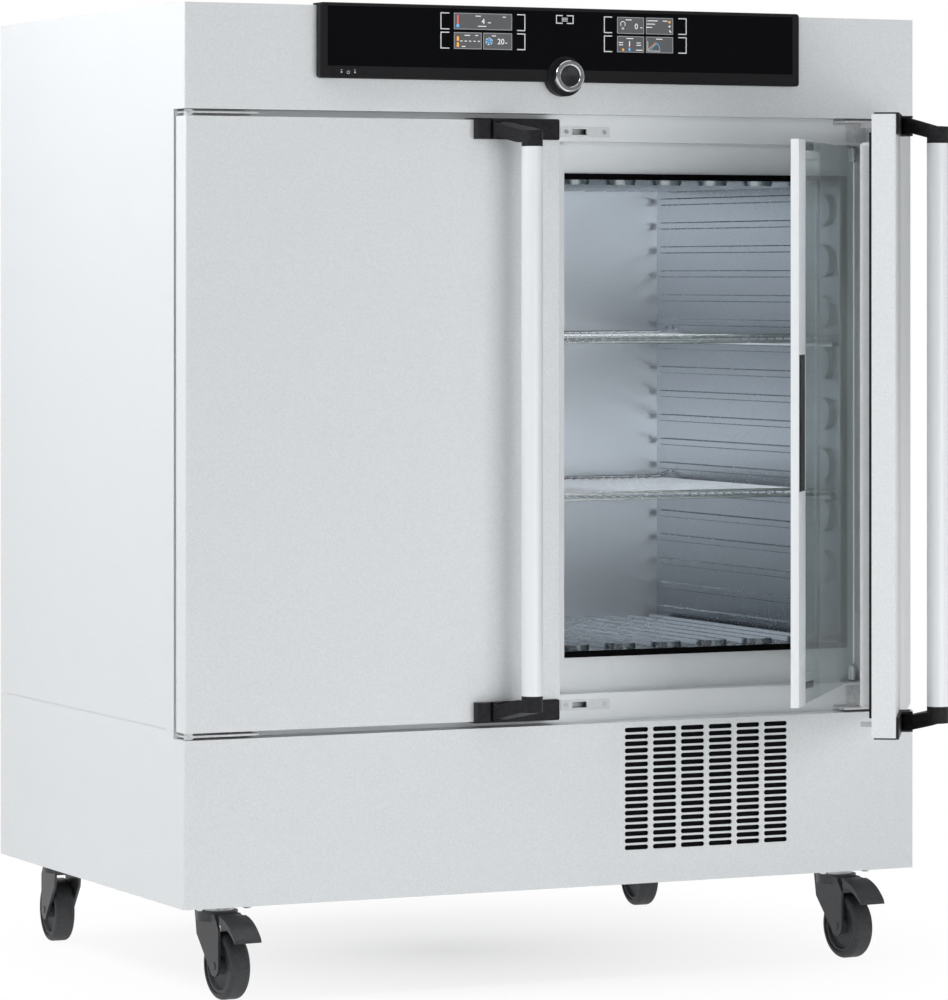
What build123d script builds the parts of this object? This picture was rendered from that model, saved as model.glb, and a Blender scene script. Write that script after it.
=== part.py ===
from build123d import *
import math
import os

os.makedirs("parts", exist_ok=True)

# Frame: millimetres, +Z up, front faces -Y, origin on the floor under the casing's centre.

# Casing
CASE_WIDTH = 1224.0
CASE_DEPTH = 784.0
CASE_HEIGHT = 1322.0
CASTER_HEIGHT = 142.0
FRONT_LAYER = 40.0
PLINTH_HEIGHT = 246.0
FASCIA_HEIGHT = 155.0
DOOR_GAP = 10.5
SHEET = 1.5
COVER_FLANGE = 20.0
SIDE_FLANGE = 14.0
SIDE_SEAM_HEIGHT = 258.0
EDGE_RADIUS = 3.0
BASE_WALL = 3.0
BASE_RIM = 26.0
RAIL_WIDTH = 60.0
RAIL_HEIGHT = 22.0

# Clearances
RUN = 0.3
SHAFT_CLEARANCE = 0.05

# White front frame, its opening for the two glass doors and the chamber mouth behind it
FRAME_SHEET = 2.0
OPENING_HALF = 550.0
OPENING_SILL = 42.0
OPENING_HEAD = 195.0
REBATE_DEPTH = 36.0
CHAMBER_WIDTH = 1040.0
CHAMBER_HEIGHT = 720.0
CHAMBER_DEPTH = 616.0
CHAMBER_FLOOR = 104.0
LINER_SHEET = 1.5
SEAL_WIDTH = 9.3
SEAL_DEPTH = 6.7

# Hairpin ribs pressed into the liner
RIB_WIDTH = 12.0
RIB_HEIGHT = 7.0
RIB_DRAFT = 14.0
RIB_SPACING = 40.0
RIB_DROP = 3.8
SIDE_LOOPS = 9
FLOOR_LOOPS = 13
RIB_FRONT_SETBACK = 21.0
RIB_REAR_SETBACK = 14.0

# Outer doors
DOOR_THICKNESS = 35.0
DOOR_SIDE_GAP = 2.0
DOOR_MEET_GAP = 1.0
DOOR_OPEN = 57.75
PIVOT_INSET = 12.0
PIN_RADIUS = 3.0
KNUCKLE_RADIUS = 7.0
PIN_REACH = 15.0
LEAF_THICKNESS = 3.0
LEAF_LENGTH = 108.0
PLUG_INSET = 40.0
PLUG_RISE = 15.0
PLUG_HINGE_X = 542.0
GASKET_WIDTH = 14.0
GASKET_RISE = 4.7
LIP_WIDTH = 12.0
LIP_RISE = 3.5

# Handles: tube on two black arms that turn on upright pins beside the door's face
HANDLE_PIVOT_X = 114.0
HANDLE_PIVOT_OUT = 13.0
BARREL_RADIUS = 7.5
TUBE_X = 77.0
TUBE_OUT = 58.0
TUBE_RADIUS = 16.0
TUBE_WALL = 2.0
TUBE_LENGTH = 820.0
BRACKET_OUTER_X = 146.0
BRACKET_INNER_X = 5.0
BRACKET_HEIGHT = 30.0
BRACKET_PLATE = 4.0
BRACKET_LUG = 3.0
BRACKET_CAP = 2.5
BRACKET_CAP_DEPTH = 32.0
BRACKET_BLOCK = 16.0
ARM_NECK_TOP = 16.0
ARM_NECK_DROP = 40.5
SPIGOT_LENGTH = 14.0

# Latch hooks, and the keepers they reach into
LATCH_FROM_MIDDLE = 435.0
HOOK_HEIGHT = 6.8
HOOK_STEM_X = 49.0
HOOK_STEM_WIDTH = 7.0
HOOK_BARB = 5.0
HOOK_REACH = 18.0
HOOK_BARB_DEPTH = 6.0
HOOK_BAR_LENGTH = 60.0
HOOK_TRAVEL_HOME = 5.0
HOOK_TRAVEL_BACK = 10.0
KEEPER_WIDTH = 83.0
KEEPER_HEIGHT = 16.0
KEEPER_X = 18.0
KEEPER_SLOT_X = 37.5
KEEPER_SLOT_WIDTH = 24.5
KEEPER_SLOT_HEIGHT = 9.0
KEEPER_PROUD = 1.5

# Inner glass doors
GLASS_OPEN = 51.5
GLASS_PIVOT_X = 538.0
GLASS_PIVOT_BACK = 63.0
GLASS_DOOR_THICKNESS = 12.0
GLASS_EDGE_GAP = 4.0
GLASS_THICKNESS = 5.0
STILE_WIDTH = 60.0
GRIP_LENGTH = 200.0
GRIP_WIDTH = 50.0
GRIP_RISE = 1.6
PATCH_WIDTH = 28.0
PATCH_HEIGHT = 22.0
GLASS_PIN_REACH = 11.0
STRIP_REACH = 39.0
STRIP_THICKNESS = 2.8
STRIP_END_HEIGHT = 8.0
HINGE_PLATE_WIDTH = 36.0
HINGE_PLATE_HEIGHT = 31.0

# Ventilation grille in the plinth
GRILLE_X = 247.4
GRILLE_COLUMNS = 6
GRILLE_ROWS = 18
GRILLE_PITCH_X = 48.0
GRILLE_PITCH_Z = 10.5
SLOT_LENGTH = 40.0
SLOT_HEIGHT = 7.2
GRILLE_CENTRE_UP = 144.5

# Control panel
BEZEL_WIDTH = 804.0
BEZEL_OUT = 13.5
BEZEL_BOTTOM_UP = 47.5
BEZEL_RISE = 4.0
BEZEL_LIP = 24.0
BEZEL_RADIUS = 5.0
WINDOW_MARGIN = 12.0
WINDOW_BOTTOM = 18.0
WINDOW_TOP = 5.0
WINDOW_DEPTH = 3.0
KNOB_UP = 56.0
BOSS_RADIUS = 30.0
BOSS_OUT = 15.0
RING_RADIUS = 24.0
RING_BORE = 15.6
RING_OUT = 32.0
BUTTON_RADIUS = 15.2
BUTTON_OUT = 29.5
BUTTON_TRAVEL = 1.5
KEY_WIDTH = 44.0
KEY_HEIGHT = 12.0
KEY_X = -358.0
KEY_RISE = 1.5
KEY_TRAVEL = 1.0

# Shelves
SHELF_HALF = 516.0
SHELF_FRONT_SETBACK = 9.0
SHELF_DEPTH = 557.0
ROD_RADIUS = 2.6
RAIL_RADIUS = 4.0
RAIL_ABOVE_RIB = 8.45
WIRE_RADIUS = 2.0
WIRE_PITCH = 15.0
ROD_SPACING = 8.5
KICK_LENGTH = 20.0
KICK_RISE = 7.5
UPPER_SHELF_RIB = 6
LOWER_SHELF_RIB = 12

# Air circulation and cold side behind the chamber's rear wall
PLENUM_DEPTH = 40.0
FAN_RADIUS = 90.0
FAN_DEPTH = 26.0
FAN_BLADES = 12
INTAKE_RADIUS = 80.0
MOTOR_RADIUS = 38.0
MOTOR_SHAFT_RADIUS = 5.0
INSULATION_FRONT_GAP = 2.0
INSULATION_SIDE = 602.0
INSULATION_UNDER = 60.0
EVAPORATOR_X = 270.0
EVAPORATOR_WIDTH = 300.0
EVAPORATOR_HEIGHT = 420.0
EVAPORATOR_FINS = 7
EVAPORATOR_TUBES = 4

# Refrigeration unit in the base
COMPRESSOR_RADIUS = 95.0
COMPRESSOR_HEIGHT = 175.0
COMPRESSOR_X = 300.0
COMPRESSOR_Y = 150.0
CONDENSER_WIDTH = 290.0
CONDENSER_HEIGHT = 190.0
CONDENSER_DEPTH = 44.0
CONDENSER_FIN_PITCH = 48.0
CONDENSER_TUBES = 4
SHROUD_DEPTH = 26.0
COOLING_FAN_RADIUS = 82.0
COOLING_FAN_BLADES = 6

# Electronics and mains inlet
CONTROL_WIDTH = 420.0
CONTROL_DEPTH = 260.0
CONTROL_HEIGHT = 82.0
INLET_WIDTH = 34.0
INLET_HEIGHT = 28.0
INLET_X = -470.0

# Casters
CASTER_X = 524.0
CASTER_FRONT_Y = -304.0
CASTER_REAR_Y = 344.0
CASTER_TURN = 4.0
TRAIL = 33.0
WHEEL_RADIUS = 50.0
TYRE_WIDTH = 32.0
TYRE_THICKNESS = 9.0
HUB_WIDTH = 27.0
AXLE_RADIUS = 6.0
FORK_GAP = 2.0
FORK_WALL = 4.0
FORK_TOP = 126.0
CASTER_PLATE = 6.0
CASTER_PLATE_SIZE = 92.0
SWIVEL_RADIUS = 31.0
PEDAL_WIDTH = 44.0
PEDAL_TRAVEL = 8.0

# Places that follow from the sizes above
HALF_W = CASE_WIDTH / 2
FRONT_Y = -CASE_DEPTH / 2
BACK_Y = CASE_DEPTH / 2
FRAME_Y = FRONT_Y + FRONT_LAYER
REBATE_Y = FRAME_Y + REBATE_DEPTH
CASE_Z0 = CASTER_HEIGHT
CASE_Z1 = CASE_Z0 + CASE_HEIGHT
PLINTH_TOP = CASE_Z0 + PLINTH_HEIGHT
FASCIA_Z0 = CASE_Z1 - FASCIA_HEIGHT
DOOR_Z0 = PLINTH_TOP + DOOR_GAP
DOOR_Z1 = FASCIA_Z0 - DOOR_GAP
MID_Z = (DOOR_Z0 + DOOR_Z1) / 2
OPEN_Z0 = PLINTH_TOP + OPENING_SILL
OPEN_Z1 = CASE_Z1 - OPENING_HEAD
CHAMBER_Z0 = PLINTH_TOP + CHAMBER_FLOOR
CHAMBER_Z1 = CHAMBER_Z0 + CHAMBER_HEIGHT
CHAMBER_HALF = CHAMBER_WIDTH / 2
CHAMBER_BACK = REBATE_Y + CHAMBER_DEPTH
DOOR_HINGE_X = HALF_W - DOOR_SIDE_GAP
DOOR_BACK_Y = FRONT_Y + DOOR_THICKNESS
PIVOT_X = HALF_W - PIVOT_INSET
PIVOT_Y = FRONT_Y + PIVOT_INSET
HANDLE_PIVOT_Y = FRONT_Y - HANDLE_PIVOT_OUT
TUBE_Y = FRONT_Y - TUBE_OUT
LATCH_Z = MID_Z + LATCH_FROM_MIDDLE
GLASS_Y = FRONT_Y + GLASS_PIVOT_BACK
GLASS_FRONT = GLASS_Y - GLASS_DOOR_THICKNESS / 2
GLASS_BACK = GLASS_Y + GLASS_DOOR_THICKNESS / 2
GLASS_Z0 = OPEN_Z0 + GLASS_EDGE_GAP
GLASS_Z1 = OPEN_Z1 - GLASS_EDGE_GAP
GLASS_MID = (GLASS_Z0 + GLASS_Z1) / 2
KNOB_Z = FASCIA_Z0 + KNOB_UP
PLENUM_BACK = CHAMBER_BACK + LINER_SHEET + PLENUM_DEPTH
BASE_TOP = CASE_Z0 + BASE_WALL


def block(x0, x1, y0, y1, z0, z1):
    """Rectangular solid between two corners."""
    centre = Pos((x0 + x1) / 2, (y0 + y1) / 2, (z0 + z1) / 2)
    return centre * Box(abs(x1 - x0), abs(y1 - y0), abs(z1 - z0))


def rod_x(x0, x1, y, z, radius):
    """Cylinder along X."""
    return Pos((x0 + x1) / 2, y, z) * Rot(0, 90, 0) * Cylinder(radius, abs(x1 - x0))


def rod_y(x, y0, y1, z, radius):
    """Cylinder along Y."""
    return Pos(x, (y0 + y1) / 2, z) * Rot(90, 0, 0) * Cylinder(radius, abs(y1 - y0))


def rod_z(x, y, z0, z1, radius):
    """Cylinder along Z."""
    return Pos(x, y, (z0 + z1) / 2) * Cylinder(radius, abs(z1 - z0))


def window(outer, inner, y0, y1):
    """Upright frame in the XZ plane: outer and inner are (x0, x1, z0, z1)."""
    hole = block(inner[0], inner[1], y0 - 1, y1 + 1, inner[2], inner[3])
    return block(outer[0], outer[1], y0, y1, outer[2], outer[3]) - hole


def flipped_down(shape):
    """Copy reflected about the doors' middle height."""
    return mirror(shape, about=Plane.XY.offset(MID_Z))


def flipped_glass(shape):
    """Copy reflected about the glass doors' middle height."""
    return mirror(shape, about=Plane.XY.offset(GLASS_MID))


def to_left(shape):
    """Copy reflected to the left half of the cabinet."""
    return mirror(shape, about=Plane.YZ)


def swung(shape, pivot_x, pivot_y, angle):
    """Shape turned about an upright axis, positive to the left seen from above."""
    return Pos(pivot_x, pivot_y, 0) * Rot(0, 0, angle) * Pos(-pivot_x, -pivot_y, 0) * shape


def save(name, *shapes):
    """Write one node as separate solids in one STEP file."""
    solids = []
    for shape in shapes:
        solids += list(shape.solids())
    export_step(Compound(children=solids) if len(solids) > 1 else solids[0], f"parts/{name}.step")


def side_panels():
    """Two upright side sheets with folded edges and a pressed seam line low down."""
    top = CASE_Z1 - COVER_FLANGE
    wall = block(HALF_W - SHEET, HALF_W, FRAME_Y, BACK_Y, CASE_Z0, top)
    flange_y = FRAME_Y + FRAME_SHEET
    wall += block(HALF_W - SIDE_FLANGE, HALF_W, flange_y, flange_y + SHEET, CASE_Z0 + BASE_RIM, top - SIDE_FLANGE)
    wall += block(HALF_W - SIDE_FLANGE, HALF_W, BACK_Y - SHEET, BACK_Y, CASE_Z0, top)
    seam_z = CASE_Z0 + SIDE_SEAM_HEIGHT
    wall -= block(HALF_W - SHEET / 2, HALF_W + 1, FRAME_Y + 30, BACK_Y - 30, seam_z - 1, seam_z + 1)
    return wall, to_left(wall)


def top_cover():
    """Lid sheet with flanges folded down over the side panels."""
    outer = block(-HALF_W, HALF_W, FRAME_Y, BACK_Y, CASE_Z1 - COVER_FLANGE, CASE_Z1)
    inner = block(-HALF_W + SHEET, HALF_W - SHEET, FRAME_Y + SHEET, BACK_Y - SHEET,
                  CASE_Z1 - COVER_FLANGE - 1, CASE_Z1 - SHEET)
    return outer - inner


def rear_panel():
    """Back sheet between the side flanges, with exhaust slots and the inlet cut-out."""
    half = HALF_W - SHEET
    sheet = block(-half, half, BACK_Y - 2 * SHEET, BACK_Y - SHEET, CASE_Z0 + BASE_WALL, CASE_Z1 - COVER_FLANGE)
    slots = Sketch()
    for column in range(6):
        for row in range(6):
            spot = Pos(200 + column * 52, CASE_Z0 + 60 + row * 16)
            slots += spot * RectangleRounded(42, 6, 2.9)
    plane = Plane(origin=(0, BACK_Y, 0), x_dir=(1, 0, 0), z_dir=(0, -1, 0))
    sheet -= extrude(plane * slots, amount=10)
    inlet_z = CASE_Z0 + 90
    sheet -= block(INLET_X - INLET_WIDTH / 2, INLET_X + INLET_WIDTH / 2, BACK_Y - 10, BACK_Y + 1,
                   inlet_z - INLET_HEIGHT / 2, inlet_z + INLET_HEIGHT / 2)
    return sheet


def base_pan():
    """Folded base tray with two cross rails that the casters bolt to."""
    half = HALF_W - SHEET
    rear = BACK_Y - 2 * SHEET
    tray = block(-half, half, FRAME_Y + SHEET, rear, CASE_Z0, CASE_Z0 + BASE_RIM)
    tray -= block(-half + BASE_WALL, half - BASE_WALL, FRAME_Y + SHEET + BASE_WALL, rear - BASE_WALL,
                  BASE_TOP, CASE_Z0 + BASE_RIM + 1)
    for y in (CASTER_FRONT_Y + 10, CASTER_REAR_Y - 14):
        rail = block(-half + BASE_WALL, half - BASE_WALL, y - RAIL_WIDTH / 2, y + RAIL_WIDTH / 2,
                     BASE_TOP, BASE_TOP + RAIL_HEIGHT)
        rail -= block(-half, half, y - RAIL_WIDTH / 2 + BASE_WALL, y + RAIL_WIDTH / 2 - BASE_WALL,
                      BASE_TOP - 1, BASE_TOP + RAIL_HEIGHT - BASE_WALL)
        tray += rail
    return tray


def front_tray(z0, z1):
    """Shallow front tray: face sheet with four folded returns, open to the back."""
    tray = block(-HALF_W, HALF_W, FRONT_Y, FRAME_Y, z0, z1)
    corners = tray.edges().filter_by(Axis.Z).group_by(Axis.Y)[0]
    tray = fillet(corners, EDGE_RADIUS)
    tray -= block(-HALF_W + SHEET, HALF_W - SHEET, FRONT_Y + SHEET, FRAME_Y + 1, z0 + SHEET, z1 - SHEET)
    return tray


def front_fascia():
    """Upper front tray, with a cut-out behind the control panel."""
    tray = front_tray(FASCIA_Z0, CASE_Z1)
    half = BEZEL_WIDTH / 2 - 2 * WINDOW_MARGIN
    z0 = FASCIA_Z0 + BEZEL_BOTTOM_UP + WINDOW_BOTTOM + 8
    tray -= block(-half, half, FRONT_Y - 1, FRONT_Y + 5, z0, CASE_Z1 - 16)
    return tray


def plinth():
    """Lower front tray with the field of round-ended ventilation slots."""
    tray = front_tray(CASE_Z0, PLINTH_TOP)
    bevel = SLOT_HEIGHT * 0.3
    half_l = SLOT_LENGTH / 2
    half_h = SLOT_HEIGHT / 2
    slot = Polygon((-half_l, bevel - half_h), (bevel - half_l, -half_h), (half_l - bevel, -half_h),
                   (half_l, bevel - half_h), (half_l, half_h - bevel), (half_l - bevel, half_h),
                   (bevel - half_l, half_h), (-half_l, half_h - bevel), align=None)
    spots = GridLocations(GRILLE_PITCH_X, GRILLE_PITCH_Z, GRILLE_COLUMNS, GRILLE_ROWS)
    plane = Plane(origin=(GRILLE_X, FRONT_Y - 1, CASE_Z0 + GRILLE_CENTRE_UP),
                  x_dir=(1, 0, 0), z_dir=(0, -1, 0))
    cutters = [extrude(plane * spot * slot, amount=-10) for spot in spots.locations]
    return tray - cutters


def door_frame():
    """Painted front frame, stepped back to the rebate that the glass doors close against."""
    half = HALF_W - SHEET - RUN
    face = window((-half, half, PLINTH_TOP, FASCIA_Z0), (-OPENING_HALF, OPENING_HALF, OPEN_Z0, OPEN_Z1),
                  FRAME_Y, FRAME_Y + FRAME_SHEET)
    outer = OPENING_HALF + FRAME_SHEET
    walls = window((-outer, outer, OPEN_Z0 - FRAME_SHEET, OPEN_Z1 + FRAME_SHEET),
                   (-OPENING_HALF, OPENING_HALF, OPEN_Z0, OPEN_Z1), FRAME_Y, REBATE_Y + FRAME_SHEET)
    mouth = CHAMBER_HALF + LINER_SHEET
    rebate = window((-outer, outer, OPEN_Z0 - FRAME_SHEET, OPEN_Z1 + FRAME_SHEET),
                    (-mouth, mouth, CHAMBER_Z0 - LINER_SHEET, CHAMBER_Z1 + LINER_SHEET),
                    REBATE_Y, REBATE_Y + FRAME_SHEET)
    frame = face + walls + rebate
    x0 = KEEPER_SLOT_X
    slot = block(x0, x0 + KEEPER_SLOT_WIDTH, FRAME_Y - 1, FRAME_Y + FRAME_SHEET + 1,
                 LATCH_Z - KEEPER_SLOT_HEIGHT / 2, LATCH_Z + KEEPER_SLOT_HEIGHT / 2)
    plate = glass_plate_outline()
    for cut in (slot, flipped_down(slot), plate, flipped_glass(plate)):
        frame -= cut
        frame -= to_left(cut)
    return frame


def glass_plate_outline():
    """Space of the upper right glass-door hinge plate, flush in the frame's face."""
    x1 = OPENING_HALF
    z0 = OPEN_Z1 + FRAME_SHEET + 1.5
    return block(x1 - HINGE_PLATE_WIDTH, x1, FRAME_Y, FRAME_Y + FRAME_SHEET, z0, z0 + HINGE_PLATE_HEIGHT)


def glass_hinge():
    """Upper right glass-door hinge: flush plate, arm under the head of the opening, and pin."""
    plate = glass_plate_outline()
    x0, x1 = OPENING_HALF - HINGE_PLATE_WIDTH, OPENING_HALF
    arm_z = OPEN_Z1 - 2.0
    arm = block(x0, x1, FRAME_Y + FRAME_SHEET + RUN, GLASS_BACK, arm_z, OPEN_Z1)
    pin = rod_z(GLASS_PIVOT_X, GLASS_Y, arm_z - GLASS_PIN_REACH, arm_z, PIN_RADIUS)
    return [plate, arm + pin]


def outer_hinge():
    """Upper right outer-door hinge: leaf on the frame's face, knuckle and downward pin."""
    z0 = DOOR_Z1 + 4.0
    leaf = block(PIVOT_X - LEAF_LENGTH, PIVOT_X, PIVOT_Y - KNUCKLE_RADIUS, FRAME_Y, z0, z0 + LEAF_THICKNESS)
    leaf += rod_z(PIVOT_X, PIVOT_Y, z0, z0 + LEAF_THICKNESS, KNUCKLE_RADIUS)
    leaf += block(PIVOT_X, HALF_W - 5, PIVOT_Y, FRAME_Y, z0, z0 + LEAF_THICKNESS)
    foot = block(PIVOT_X - LEAF_LENGTH, HALF_W - 5, FRAME_Y - SHEET, FRAME_Y, DOOR_Z1 + 1.0, FASCIA_Z0 - 1.0)
    knuckle = rod_z(PIVOT_X, PIVOT_Y, DOOR_Z1 + RUN, FASCIA_Z0 - 0.8, KNUCKLE_RADIUS)
    pin = rod_z(PIVOT_X, PIVOT_Y, DOOR_Z1 - PIN_REACH, DOOR_Z1 + RUN, PIN_RADIUS)
    return leaf + foot + knuckle + pin


def hinge_leaves():
    """All fixed hinge halves: four of the outer doors and four of the glass doors."""
    right = [outer_hinge(), flipped_down(outer_hinge())]
    for piece in glass_hinge():
        right += [piece, flipped_glass(piece)]
    return right + [to_left(piece) for piece in right]


def latch_keepers():
    """Four keeper plates screwed on the frame, each with the slot for a latch hook."""
    plate = block(KEEPER_X, KEEPER_X + KEEPER_WIDTH, FRAME_Y - KEEPER_PROUD, FRAME_Y,
                  LATCH_Z - KEEPER_HEIGHT / 2, LATCH_Z + KEEPER_HEIGHT / 2)
    plate = fillet(plate.edges().filter_by(Axis.Y), 2.0)
    plate -= block(KEEPER_SLOT_X, KEEPER_SLOT_X + KEEPER_SLOT_WIDTH, FRAME_Y - 5, FRAME_Y + 1,
                   LATCH_Z - KEEPER_SLOT_HEIGHT / 2, LATCH_Z + KEEPER_SLOT_HEIGHT / 2)
    lower = flipped_down(plate)
    return plate, lower, to_left(plate), to_left(lower)


def chamber_seal():
    """Black lip seal round the chamber's mouth, notched for the left glass door's strip."""
    mouth = (-CHAMBER_HALF, CHAMBER_HALF, CHAMBER_Z0, CHAMBER_Z1)
    outer = (-CHAMBER_HALF - SEAL_WIDTH, CHAMBER_HALF + SEAL_WIDTH,
             CHAMBER_Z0 - SEAL_WIDTH, CHAMBER_Z1 + SEAL_WIDTH)
    seal = window(outer, mouth, REBATE_Y - SEAL_DEPTH, REBATE_Y)
    seal = fillet(seal.edges().group_by(Axis.Y)[0], 1.5)
    strip_back = GLASS_BACK + RUN + STRIP_THICKNESS + RUN
    seal -= block(-22, STRIP_REACH + 3, REBATE_Y - SEAL_DEPTH - 1, strip_back, 0, CASE_Z1)
    return seal


def hairpin(length):
    """Pressed hairpin rib: two parallel ribs joined by a bend at the origin end, rising along +Z."""
    outer_r = (RIB_SPACING + RIB_WIDTH) / 2
    inner_r = (RIB_SPACING - RIB_WIDTH) / 2
    run = length - outer_r - RIB_WIDTH / 2
    outline = Pos(outer_r, 0) * Circle(outer_r)
    outline += Pos(outer_r + run / 2, 0) * Rectangle(run, 2 * outer_r)
    outline -= Pos(outer_r, 0) * Circle(inner_r)
    outline -= Pos(outer_r + run / 2 + 1, 0) * Rectangle(run + 4, 2 * inner_r)
    for side in (-1, 1):
        outline += Pos(outer_r + run, side * RIB_SPACING / 2) * Circle(RIB_WIDTH / 2)
    return extrude(outline, amount=RIB_HEIGHT, taper=RIB_DRAFT)


RIB_LENGTH = CHAMBER_DEPTH - RIB_FRONT_SETBACK - RIB_REAR_SETBACK
RIB_FRONT_Y = REBATE_Y + RIB_FRONT_SETBACK


def loop_centres(first, last, count):
    """Even centres of the hairpins across a wall."""
    pitch = (last - first) / count
    return [first + pitch * (index + 0.5) for index in range(count)]


def liner_side_walls():
    """Stainless side walls with nine hairpins each, which carry the shelves."""
    rib = hairpin(RIB_LENGTH)
    wall = block(CHAMBER_HALF, CHAMBER_HALF + LINER_SHEET, REBATE_Y, CHAMBER_BACK,
                 CHAMBER_Z0 - LINER_SHEET, CHAMBER_Z1 + LINER_SHEET)
    for z in loop_centres(CHAMBER_Z0, CHAMBER_Z1, SIDE_LOOPS):
        wall += Plane(origin=(CHAMBER_HALF, RIB_FRONT_Y, z - RIB_DROP), x_dir=(0, 1, 0), z_dir=(-1, 0, 0)) * rib
    return wall, to_left(wall)


def liner_floor_and_ceiling():
    """Stainless floor and ceiling with thirteen hairpins each."""
    rib = hairpin(RIB_LENGTH)
    floor = block(-CHAMBER_HALF, CHAMBER_HALF, REBATE_Y, CHAMBER_BACK, CHAMBER_Z0 - LINER_SHEET, CHAMBER_Z0)
    for x in loop_centres(-CHAMBER_HALF, CHAMBER_HALF, FLOOR_LOOPS):
        floor += Plane(origin=(x, RIB_FRONT_Y, CHAMBER_Z0), x_dir=(0, 1, 0), z_dir=(0, 0, 1)) * rib
    ceiling = mirror(floor, about=Plane.XY.offset((CHAMBER_Z0 + CHAMBER_Z1) / 2))
    return floor, ceiling


def liner_back_wall():
    """Rear wall with the fan's slotted intake and the air outlets along both sides."""
    wall = block(-CHAMBER_HALF - LINER_SHEET, CHAMBER_HALF + LINER_SHEET, CHAMBER_BACK, CHAMBER_BACK + LINER_SHEET,
                 CHAMBER_Z0 - LINER_SHEET, CHAMBER_Z1 + LINER_SHEET)
    slots = Sketch()
    for row in range(-6, 7):
        across = 2 * math.sqrt(INTAKE_RADIUS ** 2 - (row * 12) ** 2)
        slots += Pos(0, row * 12) * RectangleRounded(across, 6, 2.9)
    plane = Plane(origin=(0, CHAMBER_BACK - 1, (CHAMBER_Z0 + CHAMBER_Z1) / 2),
                  x_dir=(1, 0, 0), z_dir=(0, -1, 0))
    return wall - extrude(plane * slots, amount=-10)


def insulation():
    """Foam block round the chamber and the air duct behind it."""
    x1 = INSULATION_SIDE
    z0 = CHAMBER_Z0 - INSULATION_UNDER
    z1 = CHAMBER_Z1 + INSULATION_UNDER
    y0 = REBATE_Y + FRAME_SHEET + INSULATION_FRONT_GAP
    foam = block(-x1, x1, y0, BACK_Y - 2 * SHEET, z0, z1)
    inner = CHAMBER_HALF + LINER_SHEET
    foam -= block(-inner, inner, y0 - 1, PLENUM_BACK, CHAMBER_Z0 - LINER_SHEET, CHAMBER_Z1 + LINER_SHEET)
    foam -= rod_y(0, PLENUM_BACK - 1, BACK_Y, (CHAMBER_Z0 + CHAMBER_Z1) / 2, MOTOR_RADIUS + RUN)
    return foam


def fan_motor():
    """Fan motor set into the foam, its shaft reaching into the air duct."""
    z = (CHAMBER_Z0 + CHAMBER_Z1) / 2
    body = rod_y(0, PLENUM_BACK, BACK_Y - 2 * SHEET, z, MOTOR_RADIUS)
    flange = rod_y(0, PLENUM_BACK - 3, PLENUM_BACK, z, MOTOR_RADIUS + 8)
    shaft = rod_y(0, CHAMBER_BACK + LINER_SHEET + 6, PLENUM_BACK - 2, z, MOTOR_SHAFT_RADIUS)
    return body + flange + shaft


def fan_impeller():
    """Backward-curved impeller on the motor's shaft."""
    z = (CHAMBER_Z0 + CHAMBER_Z1) / 2
    y0 = CHAMBER_BACK + LINER_SHEET + 5
    blade_start = FAN_RADIUS * 0.42
    sweep = ThreePointArc((blade_start, 0), (FAN_RADIUS * 0.72, FAN_RADIUS * 0.1),
                          (FAN_RADIUS * 0.96, FAN_RADIUS * 0.36))
    blade = extrude(trace(sweep, 1.6), amount=FAN_DEPTH)
    disc = Cylinder(FAN_RADIUS, 1.6, align=(Align.CENTER, Align.CENTER, Align.MIN))
    wheel = Pos(0, 0, FAN_DEPTH - 1.6) * disc
    for index in range(FAN_BLADES):
        wheel += Rot(0, 0, index * 360 / FAN_BLADES) * blade
    ring = Cylinder(FAN_RADIUS, 1.6, align=(Align.CENTER, Align.CENTER, Align.MIN))
    ring -= Cylinder(FAN_RADIUS * 0.6, 5)
    wheel += ring
    wheel += Cylinder(12, FAN_DEPTH, align=(Align.CENTER, Align.CENTER, Align.MIN))
    wheel -= Cylinder(MOTOR_SHAFT_RADIUS + SHAFT_CLEARANCE, 4 * FAN_DEPTH)
    return Plane(origin=(0, y0, z), x_dir=(1, 0, 0), z_dir=(0, 1, 0)) * wheel


def evaporator():
    """Finned cold coil flat against the foam in the air duct."""
    z = (CHAMBER_Z0 + CHAMBER_Z1) / 2
    depth = PLENUM_DEPTH - 12
    y0 = PLENUM_BACK - depth
    fins = []
    x0 = EVAPORATOR_X - EVAPORATOR_WIDTH / 2
    z0, z1 = z - EVAPORATOR_HEIGHT / 2, z + EVAPORATOR_HEIGHT / 2
    coil = block(x0, x0 + EVAPORATOR_WIDTH, PLENUM_BACK - 6, PLENUM_BACK, z0, z1)
    for index in range(EVAPORATOR_FINS):
        x = x0 + 6 + index * (EVAPORATOR_WIDTH - 12) / (EVAPORATOR_FINS - 1)
        fins.append(block(x - 1, x + 1, y0, PLENUM_BACK - 5, z0, z1))
    for index in range(EVAPORATOR_TUBES):
        tube_z = z0 + (index + 0.5) * EVAPORATOR_HEIGHT / EVAPORATOR_TUBES
        fins.append(rod_x(x0 - 8, x0 + EVAPORATOR_WIDTH + 8, y0 + depth / 2 - 3, tube_z, 5))
    return coil + fins


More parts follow.
